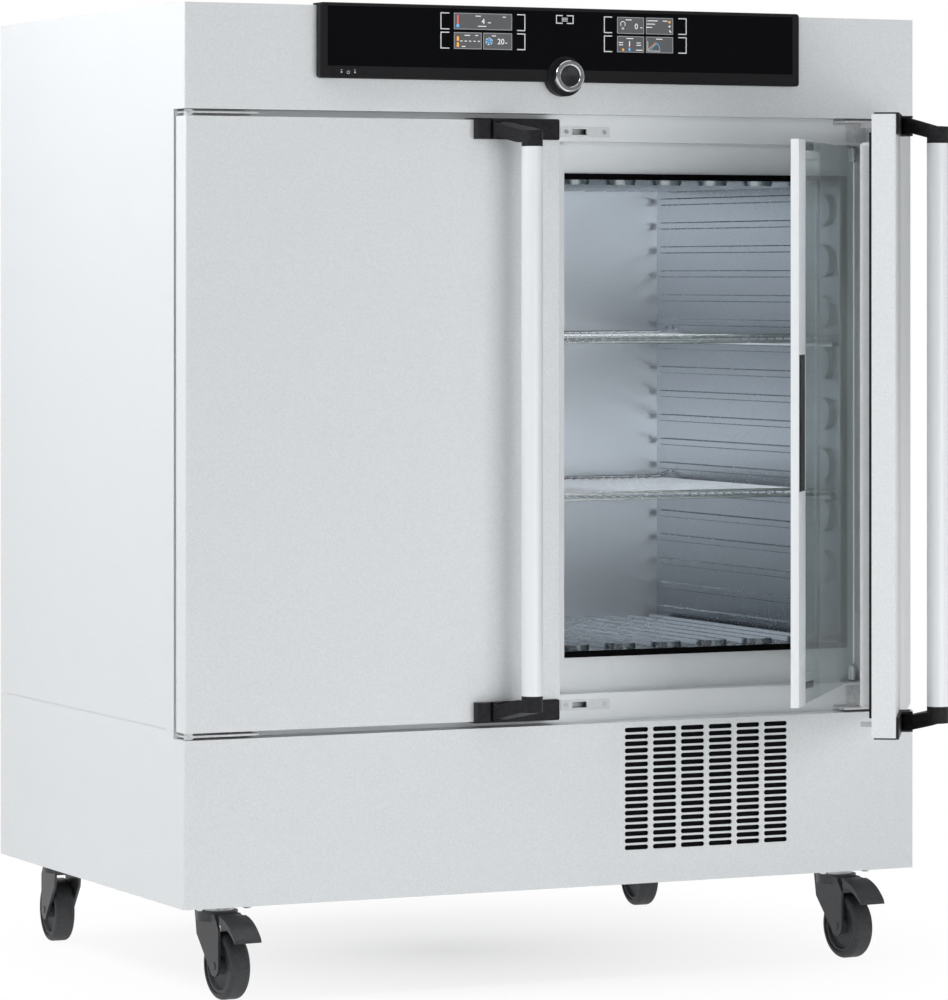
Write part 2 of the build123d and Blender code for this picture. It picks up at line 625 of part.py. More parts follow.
def compressor():
    """Hermetic compressor: domed steel shell on a base plate with feet and a terminal box."""
    r = COMPRESSOR_RADIUS
    h = COMPRESSOR_HEIGHT
    shell = Pos(0, 0, h / 2 + 9) * Cylinder(r, h - 18)
    shell = fillet(shell.edges().group_by(Axis.Z)[-1], r * 0.55)
    shell = fillet(shell.edges().group_by(Axis.Z)[0], r * 0.3)
    unit = shell + Pos(0, 0, h * 0.45) * Cylinder(r + 3, 6)
    unit += Pos(0, 0, 16) * Box(2 * r + 30, 2 * r - 40, 5)
    for x in (-1, 1):
        for y in (-1, 1):
            unit += Pos(x * (r + 4), y * (r - 32), 7) * Cylinder(12, 14)
    unit += Pos(r - 4, 0, h * 0.45) * Box(50, 64, 52)
    for offset in (-30, 30):
        unit += Pos(-r * 0.8, offset, h * 0.62) * Rot(0, 90, 0) * Cylinder(5, 60)
    return Pos(COMPRESSOR_X, COMPRESSOR_Y, BASE_TOP) * unit


CONDENSER_Y = FRAME_Y + 34.0
FAN_PLANE_Y = CONDENSER_Y + CONDENSER_DEPTH
COOLING_FAN_Z = BASE_TOP + RAIL_HEIGHT + CONDENSER_HEIGHT / 2


def condenser():
    """Finned condenser behind the grille, with the fan shroud screwed to its back."""
    x0 = GRILLE_X - CONDENSER_WIDTH / 2
    z0 = BASE_TOP + RAIL_HEIGHT
    z1 = z0 + CONDENSER_HEIGHT
    core = window((x0, x0 + CONDENSER_WIDTH, z0, z1), (x0 + 3, x0 + CONDENSER_WIDTH - 3, z0 + 3, z1 - 3),
                  CONDENSER_Y, FAN_PLANE_Y)
    parts = []
    fins = int(CONDENSER_WIDTH / CONDENSER_FIN_PITCH)
    for index in range(1, fins):
        x = x0 + index * CONDENSER_WIDTH / fins
        parts.append(block(x - 0.6, x + 0.6, CONDENSER_Y + 3, FAN_PLANE_Y - 3, z0 + 2, z1 - 2))
    for index in range(CONDENSER_TUBES):
        z = z0 + (index + 0.5) * CONDENSER_HEIGHT / CONDENSER_TUBES
        parts.append(rod_x(x0 + 1, x0 + CONDENSER_WIDTH - 1, (CONDENSER_Y + FAN_PLANE_Y) / 2, z, 5))
    core += parts
    shroud = block(x0, x0 + CONDENSER_WIDTH, FAN_PLANE_Y, FAN_PLANE_Y + SHROUD_DEPTH, z0, z1)
    shroud -= block(x0 + 2, x0 + CONDENSER_WIDTH - 2, FAN_PLANE_Y - 1, FAN_PLANE_Y + SHROUD_DEPTH - 2,
                    z0 + 2, z1 - 2)
    shroud -= rod_y(GRILLE_X, FAN_PLANE_Y, FAN_PLANE_Y + 60, COOLING_FAN_Z, COOLING_FAN_RADIUS + 4)
    spider = rod_y(GRILLE_X, FAN_PLANE_Y + SHROUD_DEPTH, FAN_PLANE_Y + SHROUD_DEPTH + 30, COOLING_FAN_Z, 24)
    arm_y = FAN_PLANE_Y + SHROUD_DEPTH
    spider += block(x0, x0 + CONDENSER_WIDTH, arm_y, arm_y + 4, COOLING_FAN_Z - 7, COOLING_FAN_Z + 7)
    spider += block(GRILLE_X - 7, GRILLE_X + 7, arm_y, arm_y + 4, z0, z1)
    spider += rod_y(GRILLE_X, FAN_PLANE_Y + 6, arm_y + 1, COOLING_FAN_Z, 4)
    return core, shroud + spider


def condenser_fan():
    """Axial fan with pitched blades, turning in the shroud."""
    hub = Cylinder(20, 14)
    blade_root = Plane.YZ.offset(14) * Rot(0, 0, 38) * Rectangle(30, 2)
    blade_tip = Plane.YZ.offset(COOLING_FAN_RADIUS) * Rot(0, 0, 22) * Rectangle(44, 1.6)
    blade = loft([blade_root, blade_tip])
    blade &= Cylinder(COOLING_FAN_RADIUS, 16)
    for index in range(COOLING_FAN_BLADES):
        hub += Rot(0, 0, index * 360 / COOLING_FAN_BLADES) * blade
    hub -= Cylinder(4 + SHAFT_CLEARANCE, 60)
    y = FAN_PLANE_Y + SHROUD_DEPTH / 2 + 1
    return Plane(origin=(GRILLE_X, y, COOLING_FAN_Z), x_dir=(1, 0, 0), z_dir=(0, 1, 0)) * hub


def control_unit():
    """Electronics tray with lid and finned power stage, on top of the foam."""
    z0 = CHAMBER_Z1 + INSULATION_UNDER
    x1 = CONTROL_WIDTH / 2
    y0 = FRAME_Y + 30
    tray = block(-x1, x1, y0, y0 + CONTROL_DEPTH, z0, z0 + CONTROL_HEIGHT)
    tray = fillet(tray.edges().filter_by(Axis.Z), 6)
    for index in range(9):
        x = -x1 + 24 + index * 12
        tray += block(x - 2, x + 2, y0 + 30, y0 + CONTROL_DEPTH - 30,
                      z0 + CONTROL_HEIGHT, z0 + CONTROL_HEIGHT + 20)
    return tray


def mains_inlet():
    """Appliance inlet in the rear panel: flanged socket with three blades."""
    z = CASE_Z0 + 90
    w, h = INLET_WIDTH / 2, INLET_HEIGHT / 2
    front = BACK_Y - 2 * SHEET
    body = block(INLET_X - w, INLET_X + w, front - 24, BACK_Y - SHEET, z - h, z + h)
    body += block(INLET_X - w - 9, INLET_X + w + 9, BACK_Y - SHEET, BACK_Y + 1.5, z - h - 4, z + h + 4)
    recess = block(INLET_X - w + 4, INLET_X + w - 4, front - 20, BACK_Y + 4, z - h + 4, z + h - 4)
    body -= fillet(recess.edges().filter_by(Axis.Y), 3)
    for dx, dz in ((-7, 0), (0, 3), (7, 0)):
        body += block(INLET_X + dx - 1, INLET_X + dx + 1, front - 21, BACK_Y - 6, z + dz - 3, z + dz + 3)
    return body


def panel_bezel():
    """Black control panel housing that wraps over the casing's top edge, with the knob's boss."""
    half = BEZEL_WIDTH / 2
    z0 = FASCIA_Z0 + BEZEL_BOTTOM_UP
    z1 = CASE_Z1 + BEZEL_RISE
    front = FRONT_Y - BEZEL_OUT
    body = block(-half, half, front, FRONT_Y, z0, z1)
    body = fillet(body.edges().filter_by(Axis.Y), BEZEL_RADIUS)
    face = body.faces().sort_by(Axis.Y)[0]
    body = chamfer(face.edges(), 1.5)
    body += block(-half + BEZEL_RADIUS, half - BEZEL_RADIUS, FRONT_Y - 2, FRONT_Y + BEZEL_LIP, CASE_Z1, z1)
    body += rod_y(0, FRONT_Y - BOSS_OUT, FRONT_Y, KNOB_Z, BOSS_RADIUS)
    body -= block(-half + WINDOW_MARGIN, half - WINDOW_MARGIN, front - 1, front + WINDOW_DEPTH,
                  z0 + WINDOW_BOTTOM, z1 - WINDOW_TOP)
    body += rod_y(0, FRONT_Y - BOSS_OUT, front + WINDOW_DEPTH + 1, KNOB_Z, BOSS_RADIUS)
    body -= rod_y(0, FRONT_Y - RING_OUT, FRONT_Y - BOSS_OUT + 8, KNOB_Z, BUTTON_RADIUS - 5)
    key_z = (z0 + z0 + WINDOW_BOTTOM) / 2
    body -= block(KEY_X - KEY_WIDTH / 2, KEY_X + KEY_WIDTH / 2, front - 1, front + 5,
                  key_z - KEY_HEIGHT / 2, key_z + KEY_HEIGHT / 2)
    return body


def panel_glass():
    """Dark glass plate set flush in the panel, round the knob's boss."""
    half = BEZEL_WIDTH / 2 - WINDOW_MARGIN
    front = FRONT_Y - BEZEL_OUT
    plate = block(-half, half, front, front + WINDOW_DEPTH,
                  FASCIA_Z0 + BEZEL_BOTTOM_UP + WINDOW_BOTTOM, CASE_Z1 + BEZEL_RISE - WINDOW_TOP)
    return plate - rod_y(0, front - 5, FRONT_Y, KNOB_Z, BOSS_RADIUS)


def knob_ring():
    """Turning ring: chromed tube with a rounded rim on a hub that turns in the boss."""
    depth = RING_OUT - BOSS_OUT
    ring = Cylinder(RING_RADIUS, depth - RUN) - Cylinder(RING_BORE, 3 * depth)
    ring = fillet(ring.edges().group_by(Axis.Z)[-1], 2.4)
    place = Plane(origin=(0, FRONT_Y - (BOSS_OUT + RUN + RING_OUT) / 2, KNOB_Z),
                  x_dir=(1, 0, 0), z_dir=(0, -1, 0))
    return place * ring


def knob_button():
    """Dished push button inside the ring, with its stem in the boss."""
    front = FRONT_Y - BUTTON_OUT
    back = FRONT_Y - BOSS_OUT - BUTTON_TRAVEL - RUN
    button = rod_y(0, front, back, KNOB_Z, BUTTON_RADIUS)
    dish = Pos(0, front - 42, KNOB_Z) * Sphere(44.4)
    button -= dish
    stem = rod_y(0, back - 1, FRONT_Y - BOSS_OUT + 5, KNOB_Z, BUTTON_RADIUS - 5 - SHAFT_CLEARANCE)
    return button + stem


def standby_key():
    """Long flat key in the panel's lower rail."""
    z0 = FASCIA_Z0 + BEZEL_BOTTOM_UP
    z = z0 + WINDOW_BOTTOM / 2
    front = FRONT_Y - BEZEL_OUT
    half = KEY_WIDTH / 2 - RUN
    key = block(KEY_X - half, KEY_X + half, front - KEY_RISE, front + 5 - KEY_TRAVEL - RUN,
                z - KEY_HEIGHT / 2 + RUN, z + KEY_HEIGHT / 2 - RUN)
    return fillet(key.edges().group_by(Axis.Y)[0], 0.8)


def shelf(rib_index):
    """Welded wire shelf: rods in pairs front and back, wires between them, rails on the side ribs."""
    rib_z = CHAMBER_Z1 - (rib_index + 0.5) * RIB_SPACING - RIB_DROP
    rail_z = rib_z + RAIL_ABOVE_RIB
    lower_z = rail_z + RAIL_RADIUS + ROD_RADIUS - 0.1
    upper_z = lower_z + ROD_SPACING
    wire_z = (lower_z + upper_z) / 2
    y0 = REBATE_Y + SHELF_FRONT_SETBACK
    y1 = y0 + SHELF_DEPTH
    half = SHELF_HALF
    rail_x = half - RAIL_RADIUS
    grid = rod_x(-half, half, y0, lower_z, ROD_RADIUS)
    grid += rod_x(-half, half, y0, upper_z, ROD_RADIUS)
    grid += rod_x(-half, half, y1, lower_z, ROD_RADIUS)
    with BuildPart() as rear:
        with BuildLine() as path:
            Polyline((-half, y1, upper_z + KICK_RISE), (KICK_LENGTH - half, y1, upper_z),
                     (half - KICK_LENGTH, y1, upper_z), (half, y1, upper_z + KICK_RISE))
        with BuildSketch(Plane(origin=path.line @ 0, z_dir=path.line % 0)):
            Circle(ROD_RADIUS)
        sweep(transition=Transition.RIGHT)
    grid += rear.part
    for side in (-1, 1):
        grid += rod_y(side * rail_x, y0 - ROD_RADIUS, y1 + ROD_RADIUS, rail_z, RAIL_RADIUS)
    count = int(2 * (half - 8) / WIRE_PITCH)
    wires = []
    profile = RegularPolygon(WIRE_RADIUS * 1.05, 6)
    for index in range(count + 1):
        x = (index - count / 2) * WIRE_PITCH
        plane = Plane(origin=(x, y0 - 1, wire_z), x_dir=(1, 0, 0), z_dir=(0, -1, 0))
        wires.append(extrude(plane * profile, amount=-(SHELF_DEPTH + 2)))
    return grid + wires


def door_skin():
    """Right outer door's sheet: face with four returns, and the two pivot bushes inside."""
    x0, x1 = DOOR_MEET_GAP, DOOR_HINGE_X
    skin = block(x0, x1, FRONT_Y, DOOR_BACK_Y, DOOR_Z0, DOOR_Z1)
    skin = fillet(skin.edges().filter_by(Axis.Z).group_by(Axis.Y)[0], EDGE_RADIUS)
    skin -= block(x0 + SHEET, x1 - SHEET, FRONT_Y + SHEET, DOOR_BACK_Y + 1, DOOR_Z0 + SHEET, DOOR_Z1 - SHEET)
    bush = rod_z(PIVOT_X, PIVOT_Y, DOOR_Z1 - PIN_REACH, DOOR_Z1 - SHEET / 2, KNUCKLE_RADIUS)
    hole = rod_z(PIVOT_X, PIVOT_Y, DOOR_Z1 - PIN_REACH - 1, DOOR_Z1 + 1, PIN_RADIUS + SHAFT_CLEARANCE)
    skin += [bush, flipped_down(bush)]
    return skin - [hole, flipped_down(hole)]


PLUG_X0 = DOOR_MEET_GAP + PLUG_INSET
PLUG_Z0 = DOOR_Z0 + PLUG_INSET
PLUG_Z1 = DOOR_Z1 - PLUG_INSET
PLUG_BACK_Y = DOOR_BACK_Y + PLUG_RISE


def door_inner():
    """Right outer door's foam-backed inner panel with its raised plug and the latch channels."""
    x0, x1 = DOOR_MEET_GAP + SHEET, DOOR_HINGE_X - SHEET
    panel = block(x0, x1, FRONT_Y + SHEET, DOOR_BACK_Y, DOOR_Z0 + SHEET, DOOR_Z1 - SHEET)
    plug = block(PLUG_X0, PLUG_HINGE_X, DOOR_BACK_Y, PLUG_BACK_Y, PLUG_Z0, PLUG_Z1)
    plug = fillet(plug.edges().filter_by(Axis.Y), 6)
    panel += plug
    bush = rod_z(PIVOT_X, PIVOT_Y, DOOR_Z1 - PIN_REACH - 2, DOOR_Z1, KNUCKLE_RADIUS + 1)
    stem0 = HOOK_STEM_X - HOOK_TRAVEL_BACK - RUN
    stem1 = HOOK_STEM_X + HOOK_STEM_WIDTH + HOOK_BAR_LENGTH + HOOK_TRAVEL_HOME + RUN
    half = HOOK_HEIGHT / 2 + RUN
    channel = block(stem0, stem1, DOOR_BACK_Y - 15 - RUN, DOOR_BACK_Y - 5 + RUN, LATCH_Z - half, LATCH_Z + half)
    mouth1 = HOOK_STEM_X + HOOK_STEM_WIDTH + HOOK_TRAVEL_HOME + RUN
    mouth = block(stem0, mouth1, DOOR_BACK_Y - 10, DOOR_BACK_Y + 1, LATCH_Z - half, LATCH_Z + half)
    cuts = [bush, channel, mouth]
    return panel - (cuts + [flipped_down(cut) for cut in cuts])


def door_gasket():
    """Right outer door's soft seals: a ring round the plug and a thin lip on the plug's face."""
    plug = (PLUG_X0, PLUG_HINGE_X, PLUG_Z0, PLUG_Z1)
    outer = (plug[0] - GASKET_WIDTH, plug[1] + GASKET_WIDTH,
             plug[2] - GASKET_WIDTH, plug[3] + GASKET_WIDTH)
    ring = window(outer, plug, DOOR_BACK_Y, DOOR_BACK_Y + GASKET_RISE)
    inset = 1.5
    lip_outer = (plug[0] + inset, plug[1] - inset, plug[2] + inset, plug[3] - inset)
    lip_inner = (lip_outer[0] + LIP_WIDTH, lip_outer[1] - LIP_WIDTH,
                 lip_outer[2] + LIP_WIDTH, lip_outer[3] - LIP_WIDTH)
    lip = window(lip_outer, lip_inner, PLUG_BACK_Y, PLUG_BACK_Y + LIP_RISE)
    return ring, lip


def latch_hooks():
    """Right door's two sliding latch bars with their barbed hooks."""
    z0, z1 = LATCH_Z - HOOK_HEIGHT / 2, LATCH_Z + HOOK_HEIGHT / 2
    x0 = HOOK_STEM_X
    x1 = x0 + HOOK_STEM_WIDTH
    tip = DOOR_BACK_Y + HOOK_REACH
    bar = block(x0, x1 + HOOK_BAR_LENGTH, DOOR_BACK_Y - 15, DOOR_BACK_Y - 5, z0, z1)
    stem = block(x0, x1, DOOR_BACK_Y - 6, tip, z0, z1)
    wedge = Polygon((x1, tip - HOOK_BARB_DEPTH), (x1 + HOOK_BARB, tip - HOOK_BARB_DEPTH),
                    (x1 + HOOK_BARB, tip - HOOK_BARB_DEPTH / 2), (x1 - 1, tip),
                    (x1 - 1, tip - HOOK_BARB_DEPTH), align=None)
    barb = extrude(Plane.XY.offset(z0) * wedge, amount=z1 - z0)
    hook = bar + stem + barb
    return hook, flipped_down(hook)


def handle_base():
    """Upper right handle base: plate on the door, cap over the door's top edge, lugs and pin."""
    top = DOOR_Z1 + RUN
    z0 = DOOR_Z1 - BRACKET_HEIGHT + 1
    x0, x1 = BRACKET_INNER_X, BRACKET_OUTER_X
    plate = block(x0, x1, FRONT_Y - BRACKET_PLATE, FRONT_Y, z0, DOOR_Z1 + BRACKET_CAP)
    plate = fillet(plate.edges().filter_by(Axis.Y), 3)
    cap = block(x0, x1, FRONT_Y - 1, FRONT_Y + BRACKET_CAP_DEPTH, DOOR_Z1, DOOR_Z1 + BRACKET_CAP)
    rest = block(HANDLE_PIVOT_X + BARREL_RADIUS + 1.2, x1, FRONT_Y - BRACKET_BLOCK, FRONT_Y, z0, DOOR_Z1)
    rest = fillet(rest.edges().filter_by(Axis.Z).group_by(Axis.Y)[0], 5)
    base = plate + cap + rest
    for zl in (z0, top - BRACKET_LUG):
        base += rod_z(HANDLE_PIVOT_X, HANDLE_PIVOT_Y, zl, zl + BRACKET_LUG, BARREL_RADIUS)
        base += block(HANDLE_PIVOT_X - BARREL_RADIUS, HANDLE_PIVOT_X + BARREL_RADIUS, HANDLE_PIVOT_Y,
                      FRONT_Y, zl, zl + BRACKET_LUG)
    base += rod_z(HANDLE_PIVOT_X, HANDLE_PIVOT_Y, z0, top, PIN_RADIUS)
    return base


def handle_arm():
    """Upper right handle arm: barrel on the pin, sloping web, and the neck that holds the tube."""
    z0 = DOOR_Z1 - BRACKET_HEIGHT + 1 + BRACKET_LUG + RUN
    z1 = DOOR_Z1 - BRACKET_LUG
    neck_bottom = DOOR_Z1 - ARM_NECK_DROP
    barrel = Pos(HANDLE_PIVOT_X, HANDLE_PIVOT_Y) * Circle(BARREL_RADIUS)
    neck = Pos(TUBE_X, TUBE_Y) * Circle(TUBE_RADIUS)
    web = make_hull(barrel.edges() + neck.edges())
    body = extrude(Plane.XY.offset(neck_bottom) * web, amount=z1 - neck_bottom)
    slope_top = neck_bottom + ARM_NECK_DROP - ARM_NECK_TOP
    side = Polygon((FRONT_Y, z0), (HANDLE_PIVOT_Y - BARREL_RADIUS, z0), (TUBE_Y + 6, neck_bottom + 6),
                   (TUBE_Y - 40, neck_bottom + 6), (TUBE_Y - 40, slope_top - 1), (TUBE_Y, slope_top),
                   (HANDLE_PIVOT_Y - 4, z1), (FRONT_Y, z1), align=None)
    body &= extrude(Plane.YZ * side, amount=HANDLE_PIVOT_X + 60, both=True)
    body += rod_z(TUBE_X, TUBE_Y, neck_bottom, neck_bottom + 10, TUBE_RADIUS)
    spigot = TUBE_RADIUS - TUBE_WALL - SHAFT_CLEARANCE
    body += rod_z(TUBE_X, TUBE_Y, neck_bottom - SPIGOT_LENGTH, neck_bottom + 1, spigot)
    return body - rod_z(HANDLE_PIVOT_X, HANDLE_PIVOT_Y, z0 - 1, z1 + 1, PIN_RADIUS + SHAFT_CLEARANCE)


def handle_tube():
    """Right handle's tube between the two necks."""
    z0, z1 = DOOR_Z0 + ARM_NECK_DROP, DOOR_Z1 - ARM_NECK_DROP
    bore = rod_z(TUBE_X, TUBE_Y, z0 - 1, z1 + 1, TUBE_RADIUS - TUBE_WALL)
    return rod_z(TUBE_X, TUBE_Y, z0, z1, TUBE_RADIUS) - bore


GLASS_X0 = DOOR_MEET_GAP
GLASS_X1 = GLASS_PIVOT_X + 8


def glass_frame():
    """Right glass door's metal parts: the upright stile and the two hinge patches."""
    x0, x1 = GLASS_X0, GLASS_X0 + STILE_WIDTH
    stile = block(x0, x1, GLASS_FRONT, GLASS_BACK, GLASS_Z0, GLASS_Z1)
    stile -= block(x1 - 14, x1 + 1, GLASS_Y - GLASS_THICKNESS / 2, GLASS_Y + GLASS_THICKNESS / 2, 0, CASE_Z1)
    grip = grip_outline()
    stile -= grip
    patch_z = GLASS_Z1 - PATCH_HEIGHT
    patch = block(GLASS_X1 - PATCH_WIDTH, GLASS_X1, GLASS_FRONT, GLASS_BACK, patch_z, GLASS_Z1)
    patch = fillet(patch.edges().filter_by(Axis.Y), 2)
    patch -= block(0, GLASS_PIVOT_X - 6, GLASS_Y - GLASS_THICKNESS / 2, GLASS_Y + GLASS_THICKNESS / 2,
                   0, CASE_Z1)
    patch -= rod_z(GLASS_PIVOT_X, GLASS_Y, patch_z - 1, GLASS_Z1 + 1, PIN_RADIUS + SHAFT_CLEARANCE)
    return stile, patch, flipped_glass(patch)


def grip_outline():
    """Space of the finger grip in the right stile's face."""
    x_mid = GLASS_X0 + STILE_WIDTH / 2
    return block(x_mid - GRIP_WIDTH / 2, x_mid + GRIP_WIDTH / 2, GLASS_FRONT, GLASS_FRONT + 2,
                 GLASS_MID - GRIP_LENGTH / 2, GLASS_MID + GRIP_LENGTH / 2)


def glass_grip():
    """Black finger grip set in the stile, with a raised and rounded pull edge."""
    x_mid = GLASS_X0 + STILE_WIDTH / 2
    z0, z1 = GLASS_MID - GRIP_LENGTH / 2, GLASS_MID + GRIP_LENGTH / 2
    plate = grip_outline()
    x0 = x_mid - GRIP_WIDTH / 2
    edge = block(x0, x0 + 12, GLASS_FRONT - GRIP_RISE, GLASS_FRONT + 1, z0, z1)
    edge = fillet(edge.edges().filter_by(Axis.Z).group_by(Axis.Y)[0], 1.2)
    return plate + edge


def glass_pane():
    """Right glass door's pane, held in the stile's groove and the patches."""
    pane = block(GLASS_X0 + STILE_WIDTH - 14, GLASS_X1 - 1,
                 GLASS_Y - GLASS_THICKNESS / 2, GLASS_Y + GLASS_THICKNESS / 2, GLASS_Z0, GLASS_Z1)
    notch = block(GLASS_PIVOT_X - 6, GLASS_X1 + 1, GLASS_FRONT, GLASS_BACK, GLASS_Z1 - PATCH_HEIGHT, GLASS_Z1 + 1)
    return pane - [notch, flipped_glass(notch)]


def centre_strip():
    """Strip on the left stile's back that the right glass door closes over, with its end blocks."""
    back = GLASS_BACK + RUN + STRIP_THICKNESS
    strip = block(-20, 0, GLASS_BACK, back, GLASS_Z0, GLASS_Z1)
    strip += block(-1, STRIP_REACH, GLASS_BACK + RUN, back, GLASS_Z0, GLASS_Z1)
    end = block(-1, STRIP_REACH + 2, GLASS_BACK + RUN, back, GLASS_Z1 - STRIP_END_HEIGHT, GLASS_Z1)
    return strip + [end, flipped_glass(end)]


def caster_plate():
    """Top plate and ball race of one caster, about its swivel axis."""
    z1 = CASTER_HEIGHT
    plate = Pos(0, 0, z1 - CASTER_PLATE / 2) * Box(CASTER_PLATE_SIZE, CASTER_PLATE_SIZE - 20, CASTER_PLATE)
    plate = fillet(plate.edges().filter_by(Axis.Z), 8)
    race = rod_z(0, 0, FORK_TOP + 2.6, z1 - 1, SWIVEL_RADIUS - 6)
    kingpin = rod_z(0, 0, FORK_TOP - 10, z1 - 1, 6)
    return plate + race + kingpin


def caster_fork(braked):
    """Moulded fork: two cheeks that taper from the crown to the axle, about the swivel axis."""
    half = TYRE_WIDTH / 2 + FORK_GAP
    crown = make_face(Polyline((30, FORK_TOP), (-34, FORK_TOP), (-48, FORK_TOP - 20), (-TRAIL - 15, WHEEL_RADIUS),
                               (-TRAIL + 13, WHEEL_RADIUS - 6), (24, FORK_TOP - 34), (30, FORK_TOP)))
    foot = Pos(-TRAIL, WHEEL_RADIUS) * Circle(15)
    outline = crown + foot
    plane = Plane.YZ.offset(half)
    cheek = extrude(plane * outline, amount=FORK_WALL)
    fork = cheek + mirror(cheek, about=Plane.YZ)
    bridge = block(-half - 1, half + 1, -31, 30, FORK_TOP - 14, FORK_TOP)
    bridge -= Pos(0, -TRAIL, WHEEL_RADIUS) * Rot(0, 90, 0) * Cylinder(WHEEL_RADIUS + 3, 200)
    fork += bridge
    fork += rod_z(0, 0, FORK_TOP - 12, FORK_TOP + 2.3, SWIVEL_RADIUS)
    fork -= rod_z(0, 0, FORK_TOP - 30, FORK_TOP + 10, 6 + SHAFT_CLEARANCE)
    fork += rod_x(-half - FORK_WALL - 1, half + FORK_WALL + 1, -TRAIL, WHEEL_RADIUS, AXLE_RADIUS)
    if braked:
        fork += rod_x(-half - 1, half + 1, PEDAL_Y, PEDAL_Z, 3)
    return fork


PEDAL_Y = -39.0
PEDAL_Z = FORK_TOP - 8.0


def caster_wheel():
    """Wheel about the swivel axis: spoked hub disc and rubber tyre with a crowned tread."""
    r0 = WHEEL_RADIUS - TYRE_THICKNESS
    hub = Cylinder(r0, HUB_WIDTH)
    hub -= Pos(0, 0, HUB_WIDTH / 2) * (Cylinder(r0 - 5, 12) - Cylinder(13, 12))
    hub -= Pos(0, 0, -HUB_WIDTH / 2) * (Cylinder(r0 - 5, 12) - Cylinder(13, 12))
    hub += Cylinder(12, TYRE_WIDTH + 2 * FORK_GAP - 2 * RUN)
    hub -= Cylinder(AXLE_RADIUS + SHAFT_CLEARANCE, 60)
    tyre = Cylinder(WHEEL_RADIUS, TYRE_WIDTH)
    tyre = fillet(tyre.edges().filter_by(GeomType.CIRCLE), 7)
    tyre -= Cylinder(r0, 60)
    place = Pos(0, -TRAIL, WHEEL_RADIUS) * Rot(0, 90, 0)
    return place * hub, place * tyre


def brake_pedal():
    """Brake pedal of a front caster: curved tread on two ears that turn on the fork's pin."""
    y0, z0 = PEDAL_Y, PEDAL_Z
    profile = make_face([Spline((y0 + 6, z0 + 7), (y0 - 28, z0 + 3), (y0 - 62, z0 - 22)),
                         Line((y0 - 62, z0 - 22), (y0 - 64, z0 - 28)),
                         Spline((y0 - 64, z0 - 28), (y0 - 30, z0 - 8), (y0 - 6, z0 - 6)),
                         Line((y0 - 6, z0 - 6), (y0 + 6, z0 + 7))])
    half = TYRE_WIDTH / 2 + FORK_GAP - RUN
    tread = extrude(Plane.YZ.offset(-PEDAL_WIDTH / 2) * profile, amount=PEDAL_WIDTH)
    between = block(-half, half, y0 - 40, y0 + 40, z0 - 40, z0 + 40)
    tread -= block(-100, 100, y0 - 12, y0 + 30, z0 - 30, z0 + 30) - between
    tread += rod_x(-half, half, y0, z0, 6.5)
    return tread - rod_x(-60, 60, y0, z0, 3 + SHAFT_CLEARANCE)


def caster_places():
    """Name, swivel place and rest turn of each caster."""
    return [("front_left", -CASTER_X, CASTER_FRONT_Y, CASTER_TURN, True),
            ("front_right", CASTER_X, CASTER_FRONT_Y, CASTER_TURN, True),
            ("rear_left", -CASTER_X, CASTER_REAR_Y, 180 - CASTER_TURN, False),
            ("rear_right", CASTER_X, CASTER_REAR_Y, 180 - CASTER_TURN, False)]


def write_root():
    """Everything that stays still."""
    save("side_panels", *side_panels())
    save("top_cover", top_cover())
    save("rear_panel", rear_panel())
    save("base_pan", base_pan())
    save("front_fascia", front_fascia())
    save("plinth_grille", plinth())
    save("door_frame", door_frame())
    save("hinge_leaves", *hinge_leaves())
    save("latch_keepers", *latch_keepers())
    save("chamber_seal", chamber_seal())
    save("liner_side_walls", *liner_side_walls())
    save("liner_floor_and_ceiling", *liner_floor_and_ceiling())
    save("liner_back_wall", liner_back_wall())
    save("insulation", insulation())
    save("fan_motor", fan_motor())
    save("evaporator", evaporator())
    save("compressor", compressor())
    save("condenser", *condenser())
    save("control_unit", control_unit())
    save("mains_inlet", mains_inlet())
    save("panel_bezel", panel_bezel())
    save("panel_glass", panel_glass())


def write_moving():
    """Fans, knob, key and shelves."""
    save("fan_impeller", fan_impeller())
    save("condenser_fan", condenser_fan())
    save("knob_ring", knob_ring())
    save("knob_button", knob_button())
    save("standby_key", standby_key())
    save("upper_shelf", shelf(UPPER_SHELF_RIB))
    save("lower_shelf", shelf(LOWER_SHELF_RIB))


def write_doors():
    """Both outer doors with handles and hooks, and both glass doors."""
    base = handle_base()
    arm = handle_arm()
    outer = {"door_skin": [door_skin()], "door_inner_panel": [door_inner()], "door_gasket": list(door_gasket()),
             "latch_hooks": list(latch_hooks()), "handle_bases": [base, flipped_down(base)],
             "handle_arms": [arm, flipped_down(arm)], "handle_tube": [handle_tube()]}
    for name, shapes in outer.items():
        save(f"left_{name}", *[to_left(shape) for shape in shapes])
        save(f"right_{name}", *[swung(shape, PIVOT_X, PIVOT_Y, DOOR_OPEN) for shape in shapes])
    inner = {"glass_frame": list(glass_frame()), "glass_pane": [glass_pane()], "glass_grip": [glass_grip()]}
    for name, shapes in inner.items():
        left = [to_left(shape) for shape in shapes]
        if name == "glass_frame":
            left[0] = left[0] + centre_strip()
        save(f"left_{name}", *left)
        save(f"right_{name}", *[swung(shape, GLASS_PIVOT_X, GLASS_Y, GLASS_OPEN) for shape in shapes])


def write_casters():
    """Four swivel casters, the front two with brake pedals."""
    plates = []
    for name, x, y, turn, braked in caster_places():
        place = Pos(x, y, 0) * Rot(0, 0, turn)
        plates.append(Pos(x, y, 0) * caster_plate())
        save(f"{name}_fork", place * caster_fork(braked))
        save(f"{name}_wheel", *[place * piece for piece in caster_wheel()])
        if braked:
            save(f"{name}_brake_pedal", place * brake_pedal())
    save("caster_plates", *plates)


write_root()
write_moving()
write_doors()
write_casters()
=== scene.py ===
import math

import bmesh
import bpy
from mathutils import Matrix, Vector


